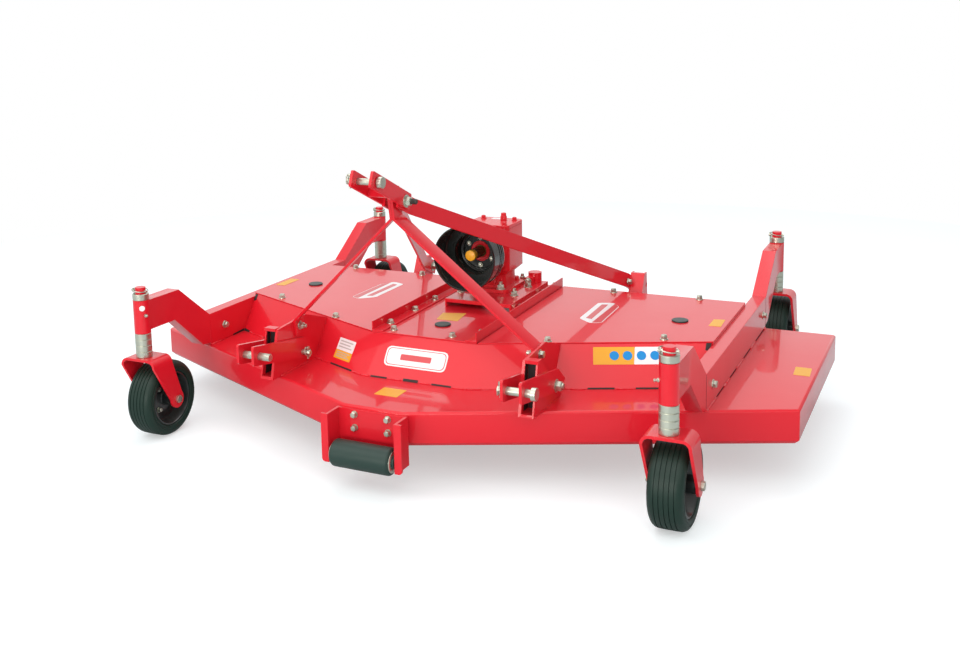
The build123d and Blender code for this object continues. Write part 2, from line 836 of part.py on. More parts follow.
top_reach = top_plate_gap / 2 + top_plate
top_head_x = top_reach + top_pin_neck
with BuildPart() as top_pin:
    for start_x, end_x, radius in (
        (-top_reach - top_pin_free_end, top_head_x, top_pin_radius),
        (top_head_x, top_head_x + pin_head_height, top_pin_radius + pin_head_step),
    ):
        with BuildSketch(Plane.YZ.offset(start_x)):
            with Locations((top_pin_y, top_pin_z)):
                Circle(radius)
        extrude(amount=end_x - start_x)
save(top_pin, "top_pin")

# Bolt that holds legs, braces and top clevis together
with BuildPart() as mast_bolt:
    with BuildSketch(Plane.YZ.offset(-top_reach)):
        with Locations((mast_bolt_y, mast_bolt_z)):
            Circle(mast_bolt_radius)
    extrude(amount=2 * top_reach + mast_bolt_spare)
    for start_x, height in ((-top_reach - mast_head_height, mast_head_height), (top_reach, mast_nut_height)):
        with BuildSketch(Plane.YZ.offset(start_x)):
            with Locations((mast_bolt_y, mast_bolt_z)):
                RegularPolygon(mast_nut_radius, 6)
        extrude(amount=height)
save(mast_bolt, "mast_bolt")

# Braces: flat bars on edge, from the top clevis back to the rear brackets
brace_run = rear_bolt_y - mast_bolt_y
brace_fall = mast_bolt_z - rear_bolt_z
brace_length = math.hypot(brace_run, brace_fall)
brace_along = (0, brace_run / brace_length, -brace_fall / brace_length)
brace_plane = Plane(
    (0, mast_bolt_y, mast_bolt_z),
    x_dir=(1, 0, 0),
    z_dir=(0, brace_fall / brace_length, brace_run / brace_length),
)
brace_front_x = top_plate_gap / 2
brace_rear_x = rear_bracket_x - rear_bracket_width / 2
brace_outer = [
    (brace_front_x, -brace_front_end),
    (brace_front_x, brace_bend),
    (brace_rear_x, brace_length - brace_bend),
    (brace_rear_x, brace_length + brace_rear_end),
]
brace_inner = [(x - brace_thickness, run) for x, run in reversed(brace_outer)]
for side, sign in SIDES:
    with BuildPart() as brace:
        with BuildSketch(brace_plane.offset(-brace_width / 2)):
            with BuildLine():
                Polyline(*[(sign * x, run) for x, run in brace_outer + brace_inner], close=True)
            make_face()
        extrude(amount=brace_width)
        with BuildSketch(Plane.YZ.offset(-hitch_x)):
            with Locations((mast_bolt_y, mast_bolt_z), (rear_bolt_y, rear_bolt_z)):
                Circle(mast_bolt_radius + pin_clearance)
        extrude(amount=2 * hitch_x, mode=Mode.SUBTRACT)
    save(brace, f"mast_brace_{side}")

# Rear brackets: folded gussets standing on the deck behind the housing, open to the rear
bracket_outline = [
    (housing_rear_y + rear_bracket_foot_gap, deck_top_z),
    (rear_bolt_y - rear_bracket_ahead, rear_bolt_z + rear_bracket_rise),
    (rear_bolt_y + rear_bracket_behind, rear_bolt_z + rear_bracket_rise),
    (deck_rear_y - rear_bracket_foot_end, deck_top_z),
]
with BuildPart() as rear_brackets:
    for side, sign in SIDES:
        bracket_x = sign * rear_bracket_x - rear_bracket_width / 2
        with BuildSketch(Plane.YZ.offset(bracket_x)):
            with BuildLine():
                Polyline(*bracket_outline, close=True)
            make_face()
            with Locations((rear_bolt_y, rear_bolt_z)):
                Circle(mast_bolt_radius + pin_clearance, mode=Mode.SUBTRACT)
        extrude(amount=rear_bracket_width)
        with BuildSketch(Plane.YZ.offset(bracket_x + rear_bracket_wall)):
            with BuildLine():
                Polyline(*[(y + rear_bracket_fold, z) for y, z in bracket_outline], close=True)
            make_face()
        extrude(amount=rear_bracket_width - 2 * rear_bracket_wall, mode=Mode.SUBTRACT)
save(rear_brackets, "rear_brackets")

# Gearbox platform: a plate with a front lip, its sides turned down onto the cover and the rail
rail_top_z = cover_top_z + rail_thickness
with BuildPart() as platform:
    with BuildSketch(Plane.XZ.offset(-platform_front_y)):
        with BuildLine():
            Polyline(
                (platform_left_x, cover_top_z),
                (platform_left_x, gearbox_foot_z),
                (platform_right_x, gearbox_foot_z),
                (platform_right_x, rail_top_z),
                (platform_right_x - platform_wall, rail_top_z),
                (platform_right_x - platform_wall, gearbox_foot_z - platform_wall),
                (platform_left_x + platform_wall, gearbox_foot_z - platform_wall),
                (platform_left_x + platform_wall, cover_top_z),
                close=True,
            )
        make_face()
    extrude(amount=-(platform_rear_y - platform_front_y))
    with BuildSketch(Plane.XZ.offset(-platform_front_y)):
        with Locations((platform_left_x, gearbox_foot_z)):
            Rectangle(platform_right_x - platform_left_x, platform_lip, align=(Align.MIN, Align.MAX))
    extrude(amount=-platform_wall)
save(platform, "gearbox_platform")

# Cast gearbox: foot flange, neck, body and the bearing boss in front
gearbox_front_y = gearbox_y - gearbox_half_y
body_z = neck_top_z + neck_flare
neck_z = gearbox_foot_z + foot_thickness
boss_front_y = gearbox_front_y - boss_length
journal_end_y = boss_front_y + journal_depth
with BuildPart() as gearbox:
    with BuildSketch(Plane.XY.offset(gearbox_foot_z)):
        with Locations((0, gearbox_y)):
            RectangleRounded(2 * gearbox_half_x, 2 * (gearbox_half_y + gearbox_foot_margin), gearbox_corner)
    extrude(amount=foot_thickness)
    with BuildSketch(Plane.XY.offset(neck_z)):
        with Locations((0, gearbox_y)):
            RectangleRounded(2 * neck_half_x, 2 * neck_half_y, gearbox_corner)
    extrude(amount=neck_top_z - neck_z)
    with BuildSketch(Plane.XY.offset(neck_top_z)):
        with Locations((0, gearbox_y)):
            RectangleRounded(2 * neck_half_x, 2 * neck_half_y, gearbox_corner)
    with BuildSketch(Plane.XY.offset(body_z)):
        with Locations((0, gearbox_y)):
            RectangleRounded(2 * gearbox_half_x, 2 * gearbox_half_y, gearbox_corner)
    loft(ruled=True)
    with BuildSketch(Plane.XY.offset(body_z)):
        with Locations((0, gearbox_y)):
            RectangleRounded(2 * gearbox_half_x, 2 * gearbox_half_y, gearbox_corner)
    extrude(amount=gearbox_top_z - body_z)
    with BuildSketch(Plane.XZ.offset(-gearbox_front_y)):
        with Locations((0, shaft_z)):
            Circle(boss_radius)
    extrude(amount=boss_length)
    with BuildSketch(Plane.XZ.offset(-boss_front_y)):
        with Locations((0, shaft_z)):
            Circle(journal_radius + turning_gap)
    extrude(amount=-(journal_depth + 2), mode=Mode.SUBTRACT)
save(gearbox, "gearbox")

with BuildPart() as gearbox_lid:
    with BuildSketch(Plane.XY.offset(gearbox_top_z)):
        with Locations((0, gearbox_y)):
            RectangleRounded(2 * gearbox_half_x, 2 * gearbox_half_y, gearbox_corner)
    extrude(amount=lid_height)
    fillet(gearbox_lid.faces().sort_by(Axis.Z)[-1].edges(), lid_edge)
save(gearbox_lid, "gearbox_lid")

# Input shaft: a journal in the gearbox and a thinner free end
free_start_y = boss_front_y - journal_ahead
with BuildPart() as pto_shaft:
    with BuildSketch(Plane.XZ.offset(-free_start_y)):
        with Locations((0, shaft_z)):
            Circle(shaft_radius)
    extrude(amount=free_start_y - shaft_tip_y)
    chamfer(pto_shaft.faces().sort_by(Axis.Y)[0].edges(), shaft_tip_edge)
    with BuildSketch(Plane.XZ.offset(-journal_end_y)):
        with Locations((0, shaft_z)):
            Circle(journal_radius)
    extrude(amount=journal_end_y - free_start_y)
save(pto_shaft, "pto_shaft")

# Shaft guard: a wide cylinder on a stepped cup, screwed to the bearing boss
with BuildPart() as guard:
    with BuildSketch(Plane((0, 0, shaft_z), x_dir=(1, 0, 0), z_dir=(0, 0, 1))):
        with BuildLine():
            Polyline(
                (guard_radius, guard_front_y),
                (guard_radius, guard_step_y),
                (guard_step_radius, guard_step_y),
                (guard_step_radius, boss_front_y),
                (guard_hole_radius, boss_front_y),
                (guard_hole_radius, boss_front_y - guard_wall),
                (guard_step_radius - guard_wall, boss_front_y - guard_wall),
                (guard_step_radius - guard_wall, guard_step_y - guard_wall),
                (guard_radius - guard_wall, guard_step_y - guard_wall),
                (guard_radius - guard_wall, guard_front_y),
                close=True,
            )
        make_face()
    revolve(axis=Axis((0, 0, shaft_z), (0, 1, 0)))
save(guard, "pto_guard")

# Belt tensioner standing on the platform
with BuildPart() as tensioner:
    with BuildSketch(Plane.XY.offset(gearbox_foot_z)):
        with Locations((tensioner_x, tensioner_y)):
            Circle(tensioner_radius)
    extrude(amount=tensioner_height)
    with BuildSketch(Plane.XY.offset(gearbox_foot_z)):
        with Locations((tensioner_x - tensioner_lug_x, tensioner_y - tensioner_lug_y)):
            Rectangle(tensioner_lug_width, tensioner_lug_length)
    extrude(amount=tensioner_height - tensioner_lug_step)
save(tensioner, "belt_tensioner")

# Rubber plugs over the spindles
with BuildPart() as plugs:
    for x, y in ((-spindle_x, side_spindle_y), (0, centre_spindle_y), (spindle_x, side_spindle_y)):
        with BuildSketch(Plane.XY.offset(cover_top_z)):
            with Locations((x, y)):
                Circle(plug_radius)
        extrude(amount=plug_height)
save(plugs, "rubber_plugs")

# Blade spindles: a flanged housing under the deck, then shaft, hub and blade
under_deck_z = deck_top_z - sheet
flange_foot_z = under_deck_z - spindle_flange
blade_top_z = blade_z + blade_thickness
spindle_bottom_z = blade_top_z + spindle_above_blade
wing_start = blade_radius - wing_from_tip - wing_length
wing_profile = [
    (-blade_width / 2 + wing_run, blade_z),
    (-blade_width / 2, blade_top_z + wing_rise),
    (-blade_width / 2 + wing_thickness, blade_top_z + wing_rise),
    (-blade_width / 2 + wing_run + wing_thickness, blade_z),
]
ROTORS = (
    ("left", -spindle_x, side_spindle_y, 0.0),
    ("centre", 0.0, centre_spindle_y, 90.0),
    ("right", spindle_x, side_spindle_y, 0.0),
)
with BuildPart() as spindle_housings:
    for side, x, y, turn in ROTORS:
        for radius, foot_z, top_z in (
            (spindle_flange_radius, flange_foot_z, under_deck_z),
            (spindle_housing_radius, spindle_bottom_z, flange_foot_z),
        ):
            with BuildSketch(Plane.XY.offset(foot_z)):
                with Locations((x, y)):
                    Circle(radius)
                    Circle(spindle_radius + turning_gap, mode=Mode.SUBTRACT)
            extrude(amount=top_z - foot_z)
save(spindle_housings, "spindle_housings")

for side, x, y, turn in ROTORS:
    with BuildPart() as blade:
        with BuildSketch(Plane.XY.offset(blade_z)):
            with Locations(Location((x, y), turn)):
                SlotOverall(2 * blade_radius, blade_width)
        extrude(amount=blade_thickness)
        # A wing turned up along the trailing edge near each tip, to lift the grass
        for wing_turn in (math.radians(turn), math.radians(turn + 180)):
            along_x, along_y = math.cos(wing_turn), math.sin(wing_turn)
            wing_plane = Plane(
                (x + wing_start * along_x, y + wing_start * along_y, 0),
                x_dir=(-along_y, along_x, 0),
                z_dir=(along_x, along_y, 0),
            )
            with BuildSketch(wing_plane):
                with BuildLine():
                    Polyline(*wing_profile, close=True)
                make_face()
            extrude(amount=wing_length)
        with BuildSketch(Plane.XY.offset(blade_top_z)):
            with Locations((x, y)):
                Circle(blade_hub_radius)
        extrude(amount=spindle_bottom_z - face_gap - blade_top_z)
        with BuildSketch(Plane.XY.offset(blade_z - blade_nut_height)):
            with Locations((x, y)):
                RegularPolygon(blade_nut_radius, 6)
        extrude(amount=blade_nut_height)
        with BuildSketch(Plane.XY.offset(blade_top_z)):
            with Locations((x, y)):
                Circle(spindle_radius)
        extrude(amount=under_deck_z - 1 - blade_top_z)
    save(blade, f"blade_{side}")
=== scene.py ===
"""A finishing mower: its paint, fastenings and trim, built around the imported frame. All in metres."""
import json
import math
import random

import bmesh
import bpy
from mathutils import Matrix, Vector


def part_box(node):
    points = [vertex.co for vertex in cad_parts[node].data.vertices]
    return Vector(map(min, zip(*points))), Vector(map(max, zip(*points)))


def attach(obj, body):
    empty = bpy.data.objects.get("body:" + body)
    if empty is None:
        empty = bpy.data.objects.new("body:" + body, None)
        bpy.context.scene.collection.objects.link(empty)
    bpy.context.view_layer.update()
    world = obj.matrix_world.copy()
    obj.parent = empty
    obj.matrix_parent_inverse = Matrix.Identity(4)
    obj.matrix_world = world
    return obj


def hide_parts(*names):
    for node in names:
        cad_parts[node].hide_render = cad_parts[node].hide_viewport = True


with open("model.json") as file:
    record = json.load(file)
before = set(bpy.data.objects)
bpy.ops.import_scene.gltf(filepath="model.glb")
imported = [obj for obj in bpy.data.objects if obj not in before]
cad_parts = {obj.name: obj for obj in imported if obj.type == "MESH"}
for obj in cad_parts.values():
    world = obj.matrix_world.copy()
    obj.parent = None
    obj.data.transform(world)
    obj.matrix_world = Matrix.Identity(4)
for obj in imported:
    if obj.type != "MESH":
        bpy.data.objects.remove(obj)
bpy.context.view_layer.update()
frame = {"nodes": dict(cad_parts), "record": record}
scene = bpy.context.scene
scene.view_settings.view_transform = "Standard"
weld_dice = random.Random(7)

BODY_OF = {
    node: body
    for body, nodes in frame["record"]["behaviour"]["bodies"].items()
    for node in nodes
}
PLACES = ("front_left", "front_right", "rear_left", "rear_right")
SIDES = ("left", "right")
X = Vector((1, 0, 0))
Y = Vector((0, 1, 0))
Z = Vector((0, 0, 1))


# Camera: the photograph's place and angle

PHOTO_WIDTH = 960
PHOTO_HEIGHT = 668
FOCAL_PIXELS = 1116.5
CAMERA_PLACE = (1.4615, -3.3594, 1.2781)
CAMERA_AZIMUTH = 0.4788
CAMERA_ELEVATION = 0.1479
CAMERA_ROLL = -0.0265
PICTURE_CENTRE = (411.4, 183.5)
SENSOR_WIDTH = 36.0


def place_camera():
    """The camera that took the photograph, solved from the mower's own points."""
    data = bpy.data.cameras.new("photo_camera")
    data.sensor_width = SENSOR_WIDTH
    data.lens = FOCAL_PIXELS * SENSOR_WIDTH / PHOTO_WIDTH
    data.shift_x = (PHOTO_WIDTH / 2 - PICTURE_CENTRE[0]) / PHOTO_WIDTH
    data.shift_y = (PICTURE_CENTRE[1] - PHOTO_HEIGHT / 2) / PHOTO_WIDTH
    data.clip_end = 100
    level, tilt = CAMERA_AZIMUTH, CAMERA_ELEVATION
    back = Vector((
        math.sin(level) * math.cos(tilt),
        -math.cos(level) * math.cos(tilt),
        math.sin(tilt),
    ))
    right = Vector((math.cos(level), math.sin(level), 0))
    up = back.cross(right)
    lean = Matrix.Rotation(CAMERA_ROLL, 3, back)
    turn = Matrix((lean @ right, lean @ up, back)).transposed()
    camera = bpy.data.objects.new("photo_camera", data)
    camera.matrix_world = Matrix.Translation(CAMERA_PLACE) @ turn.to_4x4()
    scene.collection.objects.link(camera)
    scene.camera = camera


# Shared effects, each a node group with named inputs

def effect(name, inputs, output, output_kind):
    """A new node group with one output, its input node and its output node."""
    group = bpy.data.node_groups.new(name, "ShaderNodeTree")
    for label, kind, value in inputs:
        socket = group.interface.new_socket(label, in_out="INPUT", socket_type=kind)
        socket.default_value = value
    group.interface.new_socket(output, in_out="OUTPUT", socket_type=output_kind)
    return group, group.nodes.new("NodeGroupInput"), group.nodes.new("NodeGroupOutput")


FLOAT = "NodeSocketFloat"
COLOR = "NodeSocketColor"
WHITE = (1, 1, 1, 1)
DUST_TONE = (0.5, 0.45, 0.4, 1)
DUST_ON_WALLS = 0.15
TURNED_STRETCH = (1.0, 0.06, 0.25)
BUMP_STRENGTH = 0.6
TONE_PATCHES = 9.0
COAT_RISES_FROM = 0.25
COAT_RISES_TO = 0.75


def feed(tree, value, socket):
    """Gives a socket a plain number or another socket's value."""
    if isinstance(value, (int, float)):
        socket.default_value = value
    else:
        tree.links.new(value, socket)


def noise_node(tree, scale, detail, roughness=0.5):
    """A noise texture on the object's own coordinates."""
    noise = tree.nodes.new("ShaderNodeTexNoise")
    feed(tree, scale, noise.inputs["Scale"])
    noise.inputs["Detail"].default_value = detail
    noise.inputs["Roughness"].default_value = roughness
    where = tree.nodes.new("ShaderNodeTexCoord")
    tree.links.new(where.outputs["Object"], noise.inputs["Vector"])
    return noise


def math_node(tree, operation, first, second):
    """A math node fed by sockets or plain numbers."""
    node = tree.nodes.new("ShaderNodeMath")
    node.operation = operation
    feed(tree, first, node.inputs[0])
    feed(tree, second, node.inputs[1])
    return node.outputs[0]


def blend_node(tree, share, first, second):
    """A colour between two others, fed by sockets."""
    mix = tree.nodes.new("ShaderNodeMix")
    mix.data_type = "RGBA"
    for label, socket in (("Factor", share), ("A", first), ("B", second)):
        tree.links.new(socket, mix.inputs[label])
    return mix.outputs["Result"]


def switch_node(tree, share, first, second):
    """The first shader where share is 0 and the second where it is 1, fed by sockets."""
    mix = tree.nodes.new("ShaderNodeMixShader")
    for socket, source in zip(mix.inputs, (share, first, second)):
        tree.links.new(source, socket)
    return mix.outputs[0]


def set_range(node, from_low, from_high, to_low, to_high):
    """The four numbers of a map range node."""
    for label, value in (
        ("From Min", from_low), ("From Max", from_high), ("To Min", to_low), ("To Max", to_high),
    ):
        node.inputs[label].default_value = value


def make_ripple():
    """Fine unevenness of a sprayed, cast or moulded skin."""
    group, given, result = effect("skin_ripple", [("Ripples per metre", FLOAT, 300.0)], "Height", FLOAT)
    noise = noise_node(group, given.outputs["Ripples per metre"], 2.0)
    group.links.new(noise.outputs["Fac"], result.inputs["Height"])
    return group


def make_uneven_gloss():
    """Roughness that drifts from patch to patch, with a few dry smears."""
    group, given, result = effect(
        "uneven_gloss",
        [("Roughness", FLOAT, 0.3), ("Spread", FLOAT, 0.1), ("Patches per metre", FLOAT, 6.0)],
        "Roughness", FLOAT,
    )
    noise = noise_node(group, given.outputs["Patches per metre"], 5.0, 0.65)
    centred = math_node(group, "SUBTRACT", noise.outputs["Fac"], 0.5)
    drift = math_node(group, "MULTIPLY", centred, given.outputs["Spread"])
    total = math_node(group, "ADD", drift, given.outputs["Roughness"])
    group.links.new(total, result.inputs["Roughness"])
    return group


def make_settled_dust():
    """Thin pale dust on faces that look up, in soft patches."""
    group, given, result = effect(
        "settled_dust",
        [("Color", COLOR, WHITE), ("Dust Color", COLOR, DUST_TONE), ("Amount", FLOAT, 0.1)],
        "Color", COLOR,
    )
    facing = group.nodes.new("ShaderNodeNewGeometry")
    split = group.nodes.new("ShaderNodeSeparateXYZ")
    group.links.new(facing.outputs["Normal"], split.inputs[0])
    upward = math_node(group, "MAXIMUM", split.outputs["Z"], DUST_ON_WALLS)
    noise = noise_node(group, 14.0, 6.0, 0.7)
    patchy = math_node(group, "MULTIPLY", upward, noise.outputs["Fac"])
    share = math_node(group, "MULTIPLY", patchy, given.outputs["Amount"])
    dusted = blend_node(group, share, given.outputs["Color"], given.outputs["Dust Color"])
    group.links.new(dusted, result.inputs["Color"])
    return group


def make_tone_drift():
    """A colour that drifts a little between two near tones."""
    group, given, result = effect(
        "tone_drift",
        [("Color", COLOR, WHITE), ("Other Color", COLOR, WHITE), ("Patches per metre", FLOAT, 9.0)],
        "Color", COLOR,
    )
    noise = noise_node(group, given.outputs["Patches per metre"], 4.0, 0.6)
    tone = blend_node(group, noise.outputs["Fac"], given.outputs["Color"], given.outputs["Other Color"])
    group.links.new(tone, result.inputs["Color"])
    return group


def make_turned_lines():
    """Close parallel lines left by turning or rolling, along the object's X or Z."""
    group, given, result = effect("turned_lines", [("Lines per metre", FLOAT, 900.0)], "Height", FLOAT)
    noise = noise_node(group, 1.0, 3.0)
    where = group.nodes["Texture Coordinate"]
    stretch = group.nodes.new("ShaderNodeVectorMath")
    stretch.operation = "SCALE"
    group.links.new(where.outputs["Object"], stretch.inputs[0])
    group.links.new(given.outputs["Lines per metre"], stretch.inputs["Scale"])
    flat = group.nodes.new("ShaderNodeVectorMath")
    flat.operation = "MULTIPLY"
    flat.inputs[1].default_value = TURNED_STRETCH
    group.links.new(stretch.outputs[0], flat.inputs[0])
    group.links.new(flat.outputs[0], noise.inputs["Vector"])
    group.links.new(noise.outputs["Fac"], result.inputs["Height"])
    return group


RIPPLE = make_ripple()
UNEVEN_GLOSS = make_uneven_gloss()
SETTLED_DUST = make_settled_dust()
TONE_DRIFT = make_tone_drift()
TURNED_LINES = make_turned_lines()


def use(tree, group, **values):
    """One placed copy of an effect, with its own values."""
    node = tree.nodes.new("ShaderNodeGroup")
    node.node_tree = group
    for label, value in values.items():
        node.inputs[label.replace("_", " ")].default_value = value
    return node


def ripple(per_metre, height):
    """A sprayed or moulded skin for finish_for."""
    return RIPPLE, {"Ripples_per_metre": per_metre}, height


def turned_lines(per_metre, height):
    """Lines of turning or rolling for finish_for."""
    return TURNED_LINES, {"Lines_per_metre": per_metre}, height


def finish_for(name, tones, rough, spread, patches, bump, dust=0.08, coat=None, **shader):
    """A material from two near tones, an uneven gloss, a bump effect and a little dust.
    The gloss has a roughness, how far it drifts and in how many patches per metre;
    coat gives the clear coat's weight seen square on and at a grazing angle."""
    material = bpy.data.materials.new(name)
    material.use_nodes = True
    tree = material.node_tree
    body = tree.nodes["Principled BSDF"]
    for label, value in shader.items():
        body.inputs[label.replace("_", " ")].default_value = value
    first, second = ((*tone, 1) for tone in tones)
    drift = use(tree, TONE_DRIFT, Color=first, Other_Color=second, Patches_per_metre=TONE_PATCHES)
    dusty = use(tree, SETTLED_DUST, Amount=dust)
    gloss = use(tree, UNEVEN_GLOSS, Roughness=rough, Spread=spread, Patches_per_metre=patches)
    tree.links.new(drift.outputs["Color"], dusty.inputs["Color"])
    tree.links.new(dusty.outputs["Color"], body.inputs["Base Color"])
    tree.links.new(gloss.outputs["Roughness"], body.inputs["Roughness"])
    if coat:
        facing = tree.nodes.new("ShaderNodeLayerWeight")
        rise = tree.nodes.new("ShaderNodeMapRange")
        set_range(rise, COAT_RISES_FROM, COAT_RISES_TO, *coat)
        tree.links.new(facing.outputs["Facing"], rise.inputs["Value"])
        tree.links.new(rise.outputs["Result"], body.inputs["Coat Weight"])
    group, values, height = bump
    relief = use(tree, group, **values)
    bumps = tree.nodes.new("ShaderNodeBump")
    bumps.inputs["Strength"].default_value = BUMP_STRENGTH
    bumps.inputs["Distance"].default_value = height
    tree.links.new(relief.outputs["Height"], bumps.inputs["Height"])
    tree.links.new(bumps.outputs["Normal"], body.inputs["Normal"])
    return material


red_paint = finish_for(
    "red_paint", ((0.66, 0.007, 0.019), (0.69, 0.010, 0.022)), 0.36, 0.10, 5.0,
    ripple(420.0, 0.00006), dust=0.02, coat=(0.36, 0.66),
    Coat_Roughness=0.05, Specular_IOR_Level=0.22,
)
cast_red_paint = finish_for(
    "cast_red_paint", ((0.65, 0.009, 0.020), (0.70, 0.013, 0.022)), 0.40, 0.16, 12.0,
    ripple(520.0, 0.0006), dust=0.05, coat=(0.25, 0.6),
    Coat_Roughness=0.15, Specular_IOR_Level=0.22,
)
zinc_plate = finish_for(
    "zinc_plate", ((0.58, 0.59, 0.50), (0.45, 0.46, 0.38)), 0.30, 0.25, 40.0,
    turned_lines(1400.0, 0.00008), dust=0.05,
    Metallic=0.9,
)
dark_thread = finish_for(
    "dark_thread", ((0.05, 0.045, 0.04), (0.09, 0.08, 0.07)), 0.45, 0.2, 60.0,
    ripple(1500.0, 0.0001), Metallic=0.7,
)
tyre_rubber = finish_for(
    "tyre_rubber", ((0.004, 0.018, 0.012), (0.008, 0.028, 0.020)), 0.46, 0.18, 16.0,
    ripple(900.0, 0.00025), dust=0.03,
    Specular_IOR_Level=0.28,
)
plug_rubber = finish_for(
    "plug_rubber", ((0.020, 0.035, 0.034), (0.030, 0.050, 0.048)), 0.50, 0.15, 30.0,
    ripple(1100.0, 0.0002),
)
black_enamel = finish_for(
    "black_enamel", ((0.008, 0.011, 0.011), (0.014, 0.018, 0.018)), 0.30, 0.14, 14.0,
    ripple(500.0, 0.0001), Coat_Weight=0.3, Coat_Roughness=0.2,
)
roller_rubber = finish_for(
    "roller_rubber", ((0.013, 0.034, 0.028), (0.022, 0.046, 0.038)), 0.42, 0.16, 20.0,
    ripple(700.0, 0.0002), dust=0.04, Specular_IOR_Level=0.3,
)
guard_plastic = finish_for(
    "guard_plastic", ((0.003, 0.006, 0.005), (0.005, 0.009, 0.008)), 0.24, 0.12, 10.0,
    ripple(380.0, 0.00012), coat=(0.05, 1.0),
    Coat_Roughness=0.08, Specular_IOR_Level=0.28,
)
yellow_cap = finish_for(
    "yellow_cap", ((0.80, 0.38, 0.010), (0.86, 0.44, 0.015)), 0.36, 0.1, 30.0,
    ripple(600.0, 0.0001),
)
bronze_shaft = finish_for(
    "bronze_shaft", ((0.16, 0.085, 0.012), (0.10, 0.055, 0.012)), 0.36, 0.2, 40.0,
    turned_lines(900.0, 0.0001), Metallic=0.6,
)
blade_steel = finish_for(
    "blade_steel", ((0.46, 0.45, 0.43), (0.34, 0.32, 0.29)), 0.42, 0.25, 25.0,
    turned_lines(700.0, 0.0001), dust=0.12, Metallic=0.6,
)
slot_shadow = finish_for(
    "slot_shadow", ((0.010, 0.003, 0.003), (0.020, 0.004, 0.004)), 0.7, 0.1, 30.0,
    ripple(500.0, 0.0001),
)
FILM_COAT = {"Coat_Weight": 0.4, "Coat_Roughness": 0.1}
FILM_MATT = {"Specular_IOR_Level": 0.2}


def film(name, first, second, rough, shader):
    """The plain skin of a sticker or a name plate."""
    return finish_for(name, (first, second), rough, 0.08, 20.0, ripple(400.0, 0.00003), **shader)


white_film = film("white_film", (0.80, 0.79, 0.79), (0.84, 0.83, 0.83), 0.30, FILM_COAT)
yellow_film = film("yellow_film", (0.76, 0.36, 0.02), (0.82, 0.42, 0.04), 0.35, FILM_MATT)
blue_film = film("blue_film", (0.002, 0.24, 0.62), (0.004, 0.28, 0.68), 0.35, FILM_MATT)
red_film = film("red_film", (0.55, 0.010, 0.020), (0.60, 0.012, 0.024), 0.30, FILM_COAT)
grey_film = film("grey_film", (0.42, 0.40, 0.38), (0.50, 0.48, 0.45), 0.32, FILM_COAT)


# Mesh tools

SMOOTH_BELOW = math.radians(38)


def shown(name, mesh, material):
    """An object of a mesh, with one material and smooth faces between its sharp edges."""
    mesh.materials.clear()
    mesh.materials.append(material)
    mesh.polygons.foreach_set("use_smooth", [True] * len(mesh.polygons))
    mesh.set_sharp_from_angle(angle=SMOOTH_BELOW)
    piece = bpy.data.objects.new(name, mesh)
    scene.collection.objects.link(piece)
    return piece


def piece_from(bm, name, material, body, replaced=()):
    """Turns a finished bmesh into a shown piece that rides on a body."""
    bmesh.ops.recalc_face_normals(bm, faces=bm.faces)
    mesh = bpy.data.meshes.new(name)
    bm.to_mesh(mesh)
    bm.free()
    piece = shown(name, mesh, material)
    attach(piece, body)
    if replaced:
        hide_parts(*replaced)


def ring_points(centre, out, radius, count, squash=1.0):
    """Points round a ring, in the plane that out is square to."""
    axis = Vector(out).normalized()
    side = axis.orthogonal().normalized()
    turn = axis.cross(side)
    angles = [2 * math.pi * step / count for step in range(count)]
    return [
        Vector(centre) + radius * (side * math.cos(angle) + turn * (squash * math.sin(angle)))
        for angle in angles
    ]


def skin(bm, rings, closed=False):
    """Faces between each ring of corners and the next; a ring may be one corner repeated."""
    following = rings[1:] + (rings[:1] if closed else [])
    for low, high in zip(rings, following):
        for step in range(len(low)):
            after = (step + 1) % len(low)
            corners = list(dict.fromkeys((low[step], low[after], high[after], high[step])))
            if len(corners) > 2:
                bm.faces.new(corners)


def turned(bm, profile, place, out, steps=32, closed=False):
    """Spins (radius, along) pairs round the axis out, which runs through place."""
    axis = Vector(out).normalized()
    rings = []
    for radius, along in profile:
        centre = Vector(place) + axis * along
        if radius == 0:
            rings.append([bm.verts.new(centre)] * steps)
        else:
            rings.append([bm.verts.new(point) for point in ring_points(centre, out, radius, steps)])
    skin(bm, rings, closed)


def swept(bm, points, radius, steps=8, closed=False):
    """A round bar along points; radius is a number or one number for each point."""
    points = [Vector(point) for point in points]
    count = len(points)
    radii = radius if isinstance(radius, list) else [radius] * count
    rings = []
    across = None
    for index, point in enumerate(points):
        before = points[index - 1] if index or closed else point
        after = points[(index + 1) % count] if index < count - 1 or closed else point
        along = (after - before).normalized()
        if across is None:
            across = along.orthogonal().normalized()
        across = (across - along * across.dot(along)).normalized()
        other = along.cross(across)
        angles = [2 * math.pi * step / steps for step in range(steps)]
        rings.append([
            bm.verts.new(point + radii[index] * (across * math.cos(angle) + other * math.sin(angle)))
            for angle in angles
        ])
    skin(bm, rings, closed)
    if not closed:
        bm.faces.new(rings[0][::-1])
        bm.faces.new(rings[-1])


def block(bm, centre, size, turn=None):
    """A box of a given size, for the shaft's splines and the folded lips."""
    matrix = Matrix.Translation(centre) @ (turn.to_4x4() if turn else Matrix.Identity(4))
    matrix = matrix @ Matrix.Diagonal((*size, 1))
    bmesh.ops.create_cube(bm, size=1.0, matrix=matrix)


WASHER_THICKNESS = 0.0022


def add_washer(bm, place, out, radius, thickness=WASHER_THICKNESS):
    """A round washer with its upper edge turned off."""
    turned(bm, [
        (0, 0), (radius, 0), (radius, thickness * 0.7), (radius * 0.96, thickness), (0, thickness),
    ], place, out, 24)


